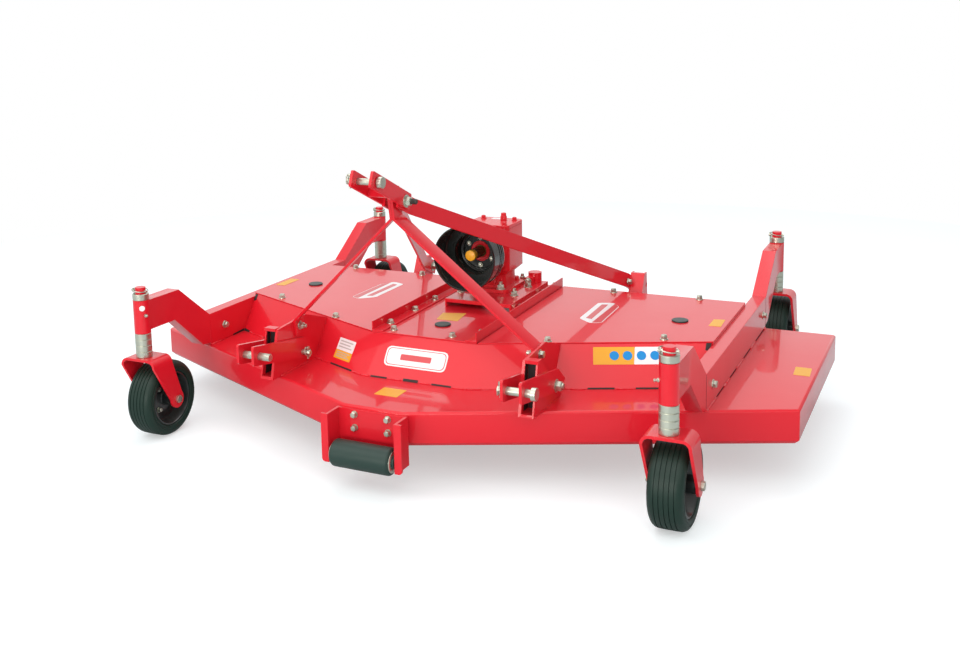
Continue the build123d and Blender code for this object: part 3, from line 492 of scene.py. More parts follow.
def add_head(bm, place, out, across, height):
    """A hexagon head with its corners turned off."""
    corner = across / math.sqrt(3)
    turned(bm, [(0, 0), (corner, 0), (corner, height * 0.82), (corner * 0.86, height), (0, height)],
           place, out, 6)
    turned(bm, [(0, height), (across * 0.42, height), (across * 0.38, height * 1.06), (0, height * 1.06)],
           place, out, 20)


def add_bolt(bm, place, out, across=0.017, height=0.010, washer=1.25):
    """A hexagon bolt head on its washer."""
    out = Vector(out).normalized()
    place = Vector(place)
    add_washer(bm, place, out, across * washer / 2 * 1.15)
    add_head(bm, place + out * WASHER_THICKNESS, out, across, height)


def add_nut_end(bm, place, out, across=0.019, height=0.012, thread=0.006, reach=0.010):
    """A nut on its washer, with the bolt's end showing."""
    out = Vector(out).normalized()
    place = Vector(place)
    add_washer(bm, place, out, across * 0.72)
    add_head(bm, place + out * WASHER_THICKNESS, out, across, height)
    start = WASHER_THICKNESS + height
    turned(bm, [
        (0, start), (thread, start), (thread, start + reach - 0.0015), (thread * 0.8, start + reach),
        (0, start + reach),
    ], place, out, 16)


def add_weld(bm, start, end, size):
    """A run of weld: overlapping ripples, slightly uneven."""
    start, end = Vector(start), Vector(end)
    length = (end - start).length
    count = max(6, int(length / (size * 0.45)))
    points = []
    radii = []
    for step in range(count + 1):
        share = step / count
        wander = Vector([weld_dice.uniform(-0.05, 0.05) * size for _ in range(3)])
        points.append(start.lerp(end, share) + wander)
        taper = 0.45 if step in (0, count) else 1.0
        radii.append(size * taper * (0.92 + 0.14 * (step % 2)))
    swept(bm, points, radii, 8)


FILM_THICKNESS = 0.0006
FILM_LIFT = 0.00005
CORNER_STEPS = 5


def thin_plate(bm, corners, out, thickness=FILM_THICKNESS, rounding=0.004, lift=FILM_LIFT):
    """A thin sheet with rounded corners, lying on a surface that faces out."""
    out = Vector(out).normalized()
    corners = [Vector(corner) for corner in corners]
    outline = []
    for index, corner in enumerate(corners):
        before = corners[index - 1]
        after = corners[(index + 1) % len(corners)]
        start = corner + (before - corner).normalized() * rounding
        end = corner + (after - corner).normalized() * rounding
        for step in range(CORNER_STEPS + 1):
            share = step / CORNER_STEPS
            outline.append((1 - share) ** 2 * start + 2 * share * (1 - share) * corner + share ** 2 * end)
    low = [bm.verts.new(point + out * lift) for point in outline]
    high = [bm.verts.new(point + out * (lift + thickness)) for point in outline]
    bm.faces.new(high)
    bm.faces.new(low[::-1])
    skin(bm, [low, high])


def round_plate(bm, centre, out, radius, thickness, lift=FILM_LIFT):
    """A thin disc lying on a surface that faces out."""
    turned(bm, [(0, lift), (radius, lift), (radius, lift + thickness), (0, lift + thickness)],
           centre, out, 36)


def add_lynch(bm, centre, along, radius, loop_side=1):
    """A lynch pin through a link pin: cross pin, its round head and the sprung ring round the shank."""
    along = Vector(along).normalized()
    centre = Vector(centre)
    swept(bm, [centre - Z * (radius + 0.010), centre + Z * (radius + 0.006)], 0.0032, 10)
    turned(bm, [(0, 0), (0.0052, 0), (0.0062, 0.003), (0.0058, 0.009), (0, 0.010)],
           centre + Z * (radius + 0.001), Z, 16)
    lean = (along + Vector((0, 0, 0.35 * loop_side))).normalized()
    swept(bm, ring_points(centre + Z * 0.002, lean, radius + 0.0065, 32), 0.0015, 8, closed=True)


MERGE_WITHIN = 0.00002
FLAT_WITHIN = math.radians(0.6)
ROUNDED_ABOVE = math.radians(32)


def softened(node, material, edge, segments=2, harden=True):
    """A CAD node's own shape with its sharp edges rounded, standing for the node."""
    mesh = frame["nodes"][node].data.copy()
    mesh.name = node
    bm = bmesh.new()
    bm.from_mesh(mesh)
    bmesh.ops.remove_doubles(bm, verts=bm.verts, dist=MERGE_WITHIN)
    bmesh.ops.dissolve_limit(bm, angle_limit=FLAT_WITHIN, verts=bm.verts, edges=bm.edges)
    bm.to_mesh(mesh)
    bm.free()
    piece = shown(node + "_finished", mesh, material)
    bevel = piece.modifiers.new("rounded_edges", "BEVEL")
    bevel.width = edge
    bevel.segments = segments
    bevel.limit_method = "ANGLE"
    bevel.angle_limit = ROUNDED_ABOVE
    bevel.use_clamp_overlap = True
    bevel.harden_normals = harden
    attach(piece, BODY_OF[node])
    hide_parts(node)


# Floor and light

FLOOR_RADIUS = 4.0
FLOOR_TONE = (0.61, 0.67, 0.68, 1)
FLOOR_GLOW = 0.44
WORLD_TONE = (0.95, 0.97, 1.0, 1)
WORLD_LIGHT = 0.72
FLAG_FROM = 0.10
FLAG_TO = 0.60
FLAG_TONE = 0.25


def lay_floor():
    """A pale floor that keeps the mower's shadow, shows white to the camera and is clear from below."""
    material = bpy.data.materials.new("pale_floor")
    material.use_nodes = True
    tree = material.node_tree
    body = tree.nodes["Principled BSDF"]
    body.inputs["Base Color"].default_value = FLOOR_TONE
    body.inputs["Roughness"].default_value = 0.8
    body.inputs["Specular IOR Level"].default_value = 0.0
    glow = tree.nodes.new("ShaderNodeEmission")
    glow.inputs["Strength"].default_value = FLOOR_GLOW
    path = tree.nodes.new("ShaderNodeLightPath")
    whitened = tree.nodes.new("ShaderNodeAddShader")
    tree.links.new(body.outputs[0], whitened.inputs[0])
    tree.links.new(glow.outputs[0], whitened.inputs[1])
    upper = switch_node(tree, path.outputs["Is Camera Ray"], body.outputs[0], whitened.outputs[0])
    clear = tree.nodes.new("ShaderNodeBsdfTransparent")
    facing = tree.nodes.new("ShaderNodeNewGeometry")
    one_sided = switch_node(tree, facing.outputs["Backfacing"], upper, clear.outputs[0])
    tree.links.new(one_sided, tree.nodes["Material Output"].inputs["Surface"])
    bm = bmesh.new()
    bmesh.ops.create_circle(bm, cap_ends=True, segments=96, radius=FLOOR_RADIUS)
    mesh = bpy.data.meshes.new("floor")
    bm.to_mesh(mesh)
    bm.free()
    mesh.materials.append(material)
    floor = bpy.data.objects.new("floor", mesh)
    scene.collection.objects.link(floor)


def light_world():
    """Even white surroundings: full white to the camera, softer as light, and with a dark flag
    on the +X side in reflections."""
    world = bpy.data.worlds.new("studio")
    world.use_nodes = True
    scene.world = world
    tree = world.node_tree
    tree.nodes.clear()
    result = tree.nodes.new("ShaderNodeOutputWorld")
    seen, mirrored, lighting = (tree.nodes.new("ShaderNodeBackground") for _ in range(3))
    seen.inputs["Color"].default_value = WHITE
    seen.inputs["Strength"].default_value = 1.0
    mirrored.inputs["Color"].default_value = WHITE
    lighting.inputs["Color"].default_value = WORLD_TONE
    lighting.inputs["Strength"].default_value = WORLD_LIGHT
    where = tree.nodes.new("ShaderNodeTexCoord")
    split = tree.nodes.new("ShaderNodeSeparateXYZ")
    flag = tree.nodes.new("ShaderNodeMapRange")
    set_range(flag, FLAG_FROM, FLAG_TO, 1.0, FLAG_TONE)
    tree.links.new(where.outputs["Generated"], split.inputs[0])
    tree.links.new(split.outputs["X"], flag.inputs["Value"])
    tree.links.new(flag.outputs["Result"], mirrored.inputs["Strength"])
    path = tree.nodes.new("ShaderNodeLightPath")
    unseen = switch_node(tree, path.outputs["Is Glossy Ray"], lighting.outputs[0], mirrored.outputs[0])
    around = switch_node(tree, path.outputs["Is Camera Ray"], unseen, seen.outputs[0])
    tree.links.new(around, result.inputs["Surface"])


def hang_lamp(name, place, aim, size, power, colour=(1, 1, 1)):
    """A soft rectangular lamp at place, turned towards aim."""
    data = bpy.data.lights.new(name, "AREA")
    data.shape = "RECTANGLE"
    data.size, data.size_y = size
    data.energy = power
    data.color = colour
    lamp = bpy.data.objects.new(name, data)
    lamp.location = place
    lamp.rotation_euler = (Vector(aim) - Vector(place)).to_track_quat("-Z", "Y").to_euler()
    scene.collection.objects.link(lamp)


place_camera()
lay_floor()
light_world()
hang_lamp("low_softbox", (-0.2, -4.9, 0.8), (0, -0.3, 0.3), (3.0, 0.8), 68, (1.0, 0.96, 0.90))
hang_lamp("wide_softbox", (-0.4, -3.2, 3.6), (0, -0.3, 0.3), (7.0, 2.4), 89, (1.0, 0.98, 0.95))
hang_lamp("top_softbox", (-0.4, 0.9, 4.2), (0, 0, 0.3), (3.5, 3.0), 60)
hang_lamp("right_softbox", (3.4, -2.6, 1.9), (0.2, -0.3, 0.4), (2.2, 1.6), 25, (1.0, 0.97, 0.93))


# Painted sheet and tube, the frame's own shapes with rounded edges

PAINTED = (
    ("deck", 0.0022), ("belt_housing", 0.0015), ("gearbox_platform", 0.0018),
    ("lower_hitch_left", 0.0012), ("lower_hitch_right", 0.0012), ("top_clevis", 0.0008),
    ("rear_brackets", 0.0016), ("belt_tensioner", 0.0015), ("roller_bracket", 0.0016),
    ("cover_centre", 0.0010), ("spindle_housings", 0.0015),
)
PAINTED_PAIRS = (
    ("cover", 0.0010), ("rail", 0.0010), ("side_beam", 0.0022), ("mast_leg", 0.0014), ("mast_brace", 0.0014),
)
PAINTED_FOURS = (("castor_arm", 0.0022), ("castor_fork", 0.0018))
PAINTED += tuple((f"{stem}_{side}", edge) for stem, edge in PAINTED_PAIRS for side in SIDES)
PAINTED += tuple((f"{stem}_{place}", edge) for stem, edge in PAINTED_FOURS for place in PLACES)
for node, edge in PAINTED:
    softened(node, red_paint, edge, harden=node != "top_clevis")
for node, edge in (("gearbox", 0.004), ("gearbox_lid", 0.002)):
    softened(node, cast_red_paint, edge)
for node in ("lower_pins", "top_pin", "roller_axle"):
    softened(node, zinc_plate, 0.0012)
for place in PLACES:
    softened(f"castor_axle_{place}", zinc_plate, 0.0010)
for side in ("left", "centre", "right"):
    softened(f"blade_{side}", blade_steel, 0.0016)
softened("rubber_plugs", plug_rubber, 0.0018, 3)
softened("roller", roller_rubber, 0.0015)


# Castor wheels: ribbed tyre, pressed rim and hub

WHEEL_RADIUS = 0.118
TYRE_HALF = 0.046
RIM_RADIUS = 0.084
TREAD_GROOVES = (-0.025, -0.0125, 0.0, 0.0125, 0.025)
GROOVE_HALF = 0.0013
GROOVE_DEPTH = 0.0022
TREAD_CROWN = 0.6
STUD_CIRCLE = 0.046
DISC_HALF = 0.0125


def tyre_profile():
    """Half of the tyre's section from bead to tread, then the ribs, then the other half."""
    side = [
        (RIM_RADIUS, 0.040), (RIM_RADIUS + 0.003, 0.0445), (RIM_RADIUS + 0.008, TYRE_HALF),
        (0.096, TYRE_HALF), (0.0965, TYRE_HALF - 0.0012), (0.101, TYRE_HALF - 0.0012),
        (0.1015, TYRE_HALF - 0.0002), (0.104, TYRE_HALF - 0.0008), (0.109, TYRE_HALF - 0.0035),
        (0.1135, TYRE_HALF - 0.0075), (0.1162, 0.0335), (0.1173, 0.0300),
    ]
    left = [(radius, -along) for radius, along in side]
    tread = []
    for groove in TREAD_GROOVES:
        crown = WHEEL_RADIUS - TREAD_CROWN * groove * groove
        tread += [
            (crown, groove - GROOVE_HALF), (crown - GROOVE_DEPTH, groove - GROOVE_HALF * 0.5),
            (crown - GROOVE_DEPTH, groove + GROOVE_HALF * 0.5), (crown, groove + GROOVE_HALF),
        ]
    return left + tread + side[::-1]


def rim_profile():
    """Pressed rim and dished disc, with the hub tube in its middle."""
    half = [
        (RIM_RADIUS - 0.0005, 0.0415), (RIM_RADIUS - 0.0045, 0.0425), (RIM_RADIUS - 0.0065, 0.0400),
        (RIM_RADIUS - 0.0085, 0.0180), (0.0700, 0.0080), (0.0620, 0.0060), (0.0520, 0.0100), (0.0400, 0.0150),
        (0.0300, 0.0165), (0.0260, 0.0165), (0.0240, 0.0190), (0.0240, 0.0535), (0.0225, 0.0550),
        (0.0082, 0.0550),
    ]
    other = [(radius, -along) for radius, along in half]
    return half + other[::-1]


for place in PLACES:
    low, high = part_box(f"castor_tyre_{place}")
    centre = (low + high) / 2
    wheel = f"wheel_{place}"
    bm = bmesh.new()
    turned(bm, tyre_profile(), centre, X, 96, closed=True)
    piece_from(bm, f"tyre_{place}", tyre_rubber, wheel, [f"castor_tyre_{place}"])
    bm = bmesh.new()
    turned(bm, rim_profile(), centre, X, 64, closed=True)
    piece_from(bm, f"rim_{place}", black_enamel, wheel, [f"castor_rim_{place}"])
    bm = bmesh.new()
    for face in (-1, 1):
        for stud in range(4):
            angle = math.pi / 4 + stud * math.pi / 2
            round_hub = STUD_CIRCLE * (Y * math.cos(angle) + Z * math.sin(angle))
            spot = centre + X * face * DISC_HALF + round_hub
            add_bolt(bm, spot, X * face, 0.013, 0.008)
    piece_from(bm, f"rim_studs_{place}", zinc_plate, wheel)


# Castor stems: a ring pin above each collar

def stem_foot(place):
    """Where a castor's stem stands over the ground."""
    low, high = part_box(f"castor_spacers_{place}")
    return Vector(((low.x + high.x) / 2, (low.y + high.y) / 2, 0))


PIN_HEIGHT = 0.4735
PIN_REACH = 0.024
for place in PLACES:
    pivot = stem_foot(place)
    pin_ends = [pivot + Vector((end * PIN_REACH, 0, PIN_HEIGHT)) for end in (-1, 1)]
    bm = bmesh.new()
    swept(bm, pin_ends, 0.0035, 12)
    turned(bm, [(0, 0), (0.0062, 0), (0.0068, 0.003), (0.0062, 0.008), (0, 0.008)],
           pin_ends[0] - X * 0.004, X, 16)
    loop = ring_points(pivot + Vector((-0.002, 0, PIN_HEIGHT + 0.003)), (0.16, 0.0, 1.0), 0.0245, 36, 0.92)
    swept(bm, loop, 0.0016, 8, closed=True)
    piece_from(bm, f"ring_pin_{place}", zinc_plate, f"castor_{place}")


# Four zinc rings under each tube and one collar above it

RING_BORE = 0.0160
RING_RADIUS = 0.0250
RING_BEVEL = 0.0013
RING_FOOT = 0.267
RING_TOP = 0.3427
RING_COUNT = 4
COLLAR_FOOT = 0.4473
COLLAR_TOP = 0.4663


def ring_profile(foot, top):
    """Section of one spacer ring with its outer edges turned off."""
    return [
        (RING_BORE, foot), (RING_RADIUS - RING_BEVEL, foot), (RING_RADIUS, foot + RING_BEVEL),
        (RING_RADIUS, top - RING_BEVEL), (RING_RADIUS - RING_BEVEL, top), (RING_BORE, top),
    ]


for place in PLACES:
    pivot = stem_foot(place)
    step_up = (RING_TOP - RING_FOOT) / RING_COUNT
    bm = bmesh.new()
    for ring in range(RING_COUNT):
        foot = RING_FOOT + ring * step_up
        turned(bm, ring_profile(foot, foot + step_up), pivot, Z, 40, closed=True)
    turned(bm, ring_profile(COLLAR_FOOT, COLLAR_TOP), pivot, Z, 40, closed=True)
    piece_from(bm, f"spacer_rings_{place}", zinc_plate, f"castor_{place}",
               [f"castor_spacers_{place}"])


# Round guard on the gearbox, and the input shaft in it

SHAFT_CENTRE = Vector((0, 0, 0.512))
GUARD_PROFILE = [
    (0.1045, -0.200), (0.1060, -0.197), (0.1060, -0.1900), (0.1042, -0.1885), (0.1042, -0.1460),
    (0.1058, -0.1440), (0.1058, -0.1380), (0.1040, -0.1365), (0.1040, -0.1310), (0.1056, -0.1295),
    (0.1056, -0.1235), (0.1038, -0.1220), (0.1038, -0.1180), (0.1050, -0.1165), (0.1050, -0.1125),
    (0.1035, -0.1100), (0.0750, -0.1095), (0.0720, -0.1070), (0.0720, -0.0990), (0.0705, -0.0980),
    (0.0705, -0.0940), (0.0720, -0.0930), (0.0720, -0.0615), (0.0705, -0.0600), (0.0340, -0.0600),
    (0.0340, -0.0640), (0.0560, -0.0640), (0.0580, -0.0670), (0.0620, -0.0670), (0.0640, -0.0645),
    (0.0680, -0.0660), (0.0680, -0.1110), (0.0700, -0.1140), (0.0990, -0.1140), (0.1020, -0.1165),
    (0.1020, -0.1940), (0.1000, -0.1960), (0.1000, -0.1990), (0.1012, -0.2000),
]
GUARD_SCREWS = 6
SCREW_CIRCLE = 0.0460
GUARD_FLOOR = -0.0640
SPLINES = 6
SPLINE_CIRCLE = 0.0157
SPLINE_SIZE = (0.0034, 0.063, 0.0075)
SPLINE_MIDDLE = -0.0935
TIP_END = -0.125
bm = bmesh.new()
turned(bm, GUARD_PROFILE, SHAFT_CENTRE, Y, 72, closed=True)
piece_from(bm, "shaft_guard", guard_plastic, "chassis", ["pto_guard"])
bm = bmesh.new()
for screw in range(GUARD_SCREWS):
    angle = math.pi / 2 + 2 * math.pi * screw / GUARD_SCREWS
    round_shaft = SCREW_CIRCLE * (X * math.cos(angle) + Z * math.sin(angle))
    spot = SHAFT_CENTRE + Y * GUARD_FLOOR + round_shaft
    add_bolt(bm, spot, Y * -1, 0.011, 0.005)
piece_from(bm, "guard_screws", zinc_plate, "chassis")
bm = bmesh.new()
turned(bm, [
    (0.0205, -0.0600), (0.0205, -0.0625), (0.0220, -0.0635), (0.0300, -0.0635), (0.0320, -0.0615),
    (0.0320, -0.0600),
], SHAFT_CENTRE, Y, 40, closed=True)
piece_from(bm, "shaft_seal", cast_red_paint, "chassis")

bm = bmesh.new()
turned(bm, [(0.0, -0.147), (0.0148, -0.147), (0.0170, -0.1455), (0.0175, -0.1435), (0.0175, TIP_END),
            (0.0170, TIP_END + 0.001), (0, TIP_END + 0.001)], SHAFT_CENTRE, Y, 40)
piece_from(bm, "shaft_cap", yellow_cap, "input_shaft", ["pto_shaft"])
bm = bmesh.new()
for tooth in range(SPLINES):
    angle = 2 * math.pi * tooth / SPLINES
    round_shaft = SPLINE_CIRCLE * (X * math.cos(angle) + Z * math.sin(angle))
    spot = SHAFT_CENTRE + Y * SPLINE_MIDDLE + round_shaft
    block(bm, spot, SPLINE_SIZE, Matrix.Rotation(-angle, 3, "Y"))
turned(bm, [(0.0, TIP_END), (0.0145, TIP_END), (0.0145, -0.062), (0.0195, -0.0618), (0.0200, -0.0610),
            (0.0200, 0.004), (0, 0.005)], SHAFT_CENTRE, Y, 32)
piece_from(bm, "splined_shaft", bronze_shaft, "input_shaft")


# Fastenings of the fixed frame, gathered by finish

DECK_TOP = 0.222
COVER_TOP = 0.338
COVER_BOLTS = ((0.660, -0.256), (0.358, -0.402), (0.650, 0.232), (0.363, 0.222))
CENTRE_COVER_BOLTS = ((-0.115, -0.462), (0.081, -0.462))
RAIL_TOP = COVER_TOP + 0.004
RAIL_BOLTS_X = 0.154
RAIL_BOLTS_Y = (-0.412, -0.244, -0.098, 0.112, 0.222)
PLATFORM_TOP = 0.366
PLATFORM_NUTS = ((-0.075, -0.060), (0.108, -0.040), (0.108, 0.085), (0.055, 0.166))
TENSIONER_NUT = (0.097, 0.113, 0.379)
FLANGE_TOP = 0.378
FLANGE_NUTS = ((-0.050, -0.0205), (0.052, -0.0205))
MAST_BOLT = Vector((0, -0.64505, 0.77198))
MAST_BOLT_ACROSS = 0.024
MAST_WASHER_RADIUS = 0.0185
MAST_WASHER_DEPTH = 0.003
CLEVIS_FACE = 0.034
HITCH_BOLT = (-0.572, 0.353)
STORED_BOLT = (-0.563, 0.266)
STORED_BOLT_RADIUS = 0.0088
LINK_PIN = (-0.790, 0.317)
LINK_PIN_RADIUS = 0.011
TOP_PIN = (-0.802, 0.847)
TOP_PIN_RADIUS = 0.0095
HITCH_INNER = 0.3825
CHANNEL_INNER = 0.3985
CHANNEL_OUTER = 0.4295
HITCH_OUTER = 0.4425
LEG_BOLT = (0.383, 0.355, 0.341)
BRACKET_BOLT = (0.391, 0.300, 0.360)
BEAM_INNER = 0.7895
BEAM_OUTER = 0.8345
BEAM_BOLTS_Y = (-0.413, 0.338)
SKIRT_FACE = -0.820
bm = bmesh.new()
for x, y in COVER_BOLTS:
    for sign in (-1, 1):
        add_bolt(bm, (sign * x, y, COVER_TOP), Z, 0.017, 0.011)
for y in RAIL_BOLTS_Y:
    for sign in (-1, 1):
        add_bolt(bm, (sign * RAIL_BOLTS_X, y, RAIL_TOP), Z, 0.017, 0.010)
for x, y in CENTRE_COVER_BOLTS:
    add_bolt(bm, (x, y, COVER_TOP), Z, 0.016, 0.010)
for x, y in PLATFORM_NUTS:
    add_nut_end(bm, (x, y, PLATFORM_TOP), Z, 0.019, 0.012)
add_nut_end(bm, TENSIONER_NUT, Y * -1, 0.016, 0.008, 0.005, 0.006)
for x, y in FLANGE_NUTS:
    add_nut_end(bm, (x, y, FLANGE_TOP), Z, 0.020, 0.013)
for sign in (-1, 1):
    add_nut_end(bm, (sign * HITCH_INNER, *HITCH_BOLT), X * -sign, 0.019, 0.011)
    add_bolt(bm, (sign * CHANNEL_INNER, *HITCH_BOLT), X * sign, 0.019, 0.010)
    add_nut_end(bm, (sign * HITCH_OUTER, *STORED_BOLT), X * sign, 0.026, 0.014, 0.009, 0.006)
    turned(bm, [
        (0, 0), (STORED_BOLT_RADIUS, 0), (STORED_BOLT_RADIUS, 0.0260), (0.0078, 0.0280), (0, 0.0280),
    ], (sign * HITCH_INNER, *STORED_BOLT), X * -sign, 20)
    add_nut_end(bm, (sign * LEG_BOLT[0], *LEG_BOLT[1:]), X * -sign, 0.024, 0.013, 0.008, 0.012)
    add_bolt(bm, (sign * BRACKET_BOLT[0], *BRACKET_BOLT[1:]), X * sign, 0.017, 0.010)
    for y in BEAM_BOLTS_Y:
        add_bolt(bm, (sign * BEAM_INNER, y, 0.272), X * -sign, 0.018, 0.010)
        add_bolt(bm, (sign * BEAM_OUTER, y, 0.276), X * sign, 0.018, 0.010)
for x in (-0.052, 0.052):
    for z in (0.162, 0.200):
        add_bolt(bm, (x, SKIRT_FACE, z), Y * -1, 0.016, 0.010, 1.1)
piece_from(bm, "zinc_fastenings", zinc_plate, "chassis")

LID_TOP = 0.592
LID_BOLTS = ((-0.054, 0.090), (0.060, 0.088), (-0.054, -0.008), (0.063, -0.008))
FLANGE_BOLTS = ((-0.050, 0.121), (0.050, 0.121))
GEARBOX_FRONT = -0.023
BREATHER = (0.028, 0.070, LID_TOP)
REAR_PLUG = (0.030, 0.123, 0.470)
FRONT_PLUG = (0.017, -0.006, 0.400)
bm = bmesh.new()
for x, y in LID_BOLTS:
    add_bolt(bm, (x, y, LID_TOP), Z, 0.014, 0.008)
for x, y in FLANGE_BOLTS:
    add_bolt(bm, (x, y, FLANGE_TOP), Z, 0.019, 0.011)
for x in (-0.062, 0.062):
    for z in (0.460, 0.563):
        add_bolt(bm, (x, GEARBOX_FRONT, z), Y * -1, 0.013, 0.006)
turned(bm, [(0, 0), (0.011, 0), (0.011, 0.014), (0.009, 0.018), (0.009, 0.026), (0, 0.028)],
       BREATHER, Z, 20)
turned(bm, [(0, 0), (0.020, 0), (0.022, 0.004), (0.020, 0.008), (0.010, 0.009), (0.010, 0.005), (0, 0.005)],
       REAR_PLUG, Y, 28)
turned(bm, [(0, 0), (0.013, 0), (0.014, 0.003), (0.013, 0.006), (0.008, 0.007), (0.007, 0.004), (0, 0.004)],
       FRONT_PLUG, Y * -1, 24)
piece_from(bm, "gearbox_fastenings", cast_red_paint, "chassis")

# Mast bolt: big washer, nut and dark thread on one side, its head on the other
bm = bmesh.new()
for sign, height in ((1, 0.013), (-1, 0.007)):
    out = X * sign
    on_washer = MAST_BOLT + out * (CLEVIS_FACE + MAST_WASHER_DEPTH)
    add_washer(bm, MAST_BOLT + out * CLEVIS_FACE, out, MAST_WASHER_RADIUS, MAST_WASHER_DEPTH)
    add_head(bm, on_washer, out, MAST_BOLT_ACROSS, height)
turned(bm, [(0, -CLEVIS_FACE), (0.008, -CLEVIS_FACE), (0.008, CLEVIS_FACE), (0, CLEVIS_FACE)],
       MAST_BOLT, X, 24)
piece_from(bm, "mast_bolt_head_and_nut", zinc_plate, "chassis", ["mast_bolt"])
bm = bmesh.new()
thread = [(0, 0.049), (0.0078, 0.049)]
for turn in range(8):
    thread += [(0.0080, 0.0500 + turn * 0.002), (0.0072, 0.0510 + turn * 0.002)]
turned(bm, thread + [(0.0074, 0.0665), (0.0062, 0.068), (0, 0.068)], MAST_BOLT, X, 24)
piece_from(bm, "mast_bolt_thread", dark_thread, "chassis")

# Lynch pins that keep the link pins in
bm = bmesh.new()
add_lynch(bm, (-0.4465, *LINK_PIN), X, LINK_PIN_RADIUS)
add_lynch(bm, (0.3715, *LINK_PIN), X, LINK_PIN_RADIUS, -1)
add_lynch(bm, (-0.0520, *TOP_PIN), X, TOP_PIN_RADIUS)
for sign in (-1, 1):
    add_lynch(bm, (sign * 0.3645, *STORED_BOLT), X, STORED_BOLT_RADIUS, -sign)
piece_from(bm, "lynch_pins", zinc_plate, "chassis")

# Steel rings at the ends of the nose roller
ROLLER_CENTRE = (0, -0.868, 0.103)
bm = bmesh.new()
for face in (-1, 1):
    turned(bm, [(0.0185, 0.0905), (0.0300, 0.0905), (0.0300, 0.0926), (0.0285, 0.0936), (0.0185, 0.0936)],
           ROLLER_CENTRE, X * face, 36, closed=True)
piece_from(bm, "roller_end_rings", zinc_plate, "nose_roller")

# Grease nipples on the castor tubes
NIPPLE_REACH = 0.0245
NIPPLE_HEIGHT = 0.401
bm = bmesh.new()
for place in PLACES:
    pivot = stem_foot(place)
    out = Vector((1 if pivot.x < 0 else -1, -0.45, 0)).normalized()
    spot = pivot + out * NIPPLE_REACH + Z * NIPPLE_HEIGHT
    turned(bm, [
        (0, 0), (0.0052, 0), (0.0052, 0.004), (0.0032, 0.005), (0.0032, 0.009), (0.0042, 0.011),
        (0.0030, 0.013), (0, 0.0135),
    ], spot, out, 14)
piece_from(bm, "grease_nipples", zinc_plate, "chassis")


# Sloping walls of the belt housing: where a point lies on them, and which way they face

WALL_SLOPE = 0.43548
WALL_RISE = 0.112
NOSE_HALF = 0.170
NOSE_FOOT_Y = -0.577
NOSE_LEAN = 0.082
NOSE_SPREAD = 0.004


def on_wall(x, z):
    """The point of the front walls at x and height z."""
    share = (z - DECK_TOP) / WALL_RISE
    nose_x = NOSE_HALF + NOSE_SPREAD * share
    nose_y = NOSE_FOOT_Y + NOSE_LEAN * share
    return Vector((x, nose_y + WALL_SLOPE * max(abs(x) - nose_x, 0), z))


CENTRE_WALL_OUT = Vector((0, -1, 0.7321)).normalized()
LEFT_WALL_OUT = Vector((-WALL_SLOPE, -1, 0.7166)).normalized()
RIGHT_WALL_OUT = Vector((WALL_SLOPE, -1, 0.7166)).normalized()


def rectangle(from_across, to_across, low, high):
    """Four corners of a rectangle, as pairs."""
    return (from_across, low), (to_across, low), (to_across, high), (from_across, high)


def wall_patch(*corners):
    """Points on the front walls, from pairs of x and height."""
    return [on_wall(x, z) for x, z in corners]


def on_top(points, z):
    """Points at one height, from pairs of x and y."""
    return [Vector((x, y, z)) for x, y in points]


def flipped(points):
    """The same outline on the other side of the mower."""
    return [Vector((-point.x, point.y, point.z)) for point in reversed(points)]


# Blank plates and films, in the sizes and places of the real ones, and a white disc on a castor tube that is
# a painted highlight

name_plate = wall_patch(*rectangle(-0.107, 0.096, 0.255, 0.305))
name_border = wall_patch(*rectangle(-0.1025, 0.0915, 0.2585, 0.3015))
name_face = wall_patch(*rectangle(-0.1000, 0.0890, 0.2602, 0.2998))
name_bar = wall_patch(*rectangle(-0.0560, 0.0450, 0.2725, 0.2875))
info_top = wall_patch((-0.3026, 0.2955), (-0.2274, 0.2955), (-0.2317, 0.264), (-0.3068, 0.264))
info_foot = wall_patch((-0.3069, 0.2635), (-0.2318, 0.2635), (-0.2350, 0.241), (-0.3100, 0.241))
strip_yellow = wall_patch((0.483, 0.325), (0.5916, 0.325), (0.5975, 0.282), (0.492, 0.282))
strip_white = wall_patch((0.592, 0.325), (0.656, 0.325), (0.662, 0.282), (0.598, 0.282))
badge = on_top((
    (0.362, -0.132), (0.359, 0.068), (0.405, 0.086), (0.436, 0.046), (0.441, -0.157), (0.407, -0.171),
), COVER_TOP)
badge_band = on_top(((0.413, 0.076), (0.4335, 0.045), (0.4385, -0.155), (0.413, -0.1665)), COVER_TOP)
badge_bar = on_top(((0.3800, -0.122), (0.3760, 0.052), (0.3960, 0.058), (0.4000, -0.128)), COVER_TOP)
lid_label = on_top(rectangle(-0.024, 0.010, 0.082, 0.106), LID_TOP)
nose_film = on_top(((-0.052, -0.709), (0.021, -0.709), (0.021, -0.646), (-0.052, -0.647)), DECK_TOP)
end_film = on_top(((0.994, -0.085), (1.040, -0.085), (1.036, -0.008), (0.990, -0.008)), DECK_TOP)
COVER_FILMS = (
    rectangle(-0.788, -0.752, -0.105, -0.005),
    ((0.746, -0.070), (0.782, -0.066), (0.778, 0.014), (0.745, 0.007)),
    ((-0.047, -0.307), (0.024, -0.303), (0.012, -0.210), (-0.061, -0.231)),
)
DISC_CENTRES_X = (0.5424, 0.5770, 0.6130, 0.6481)

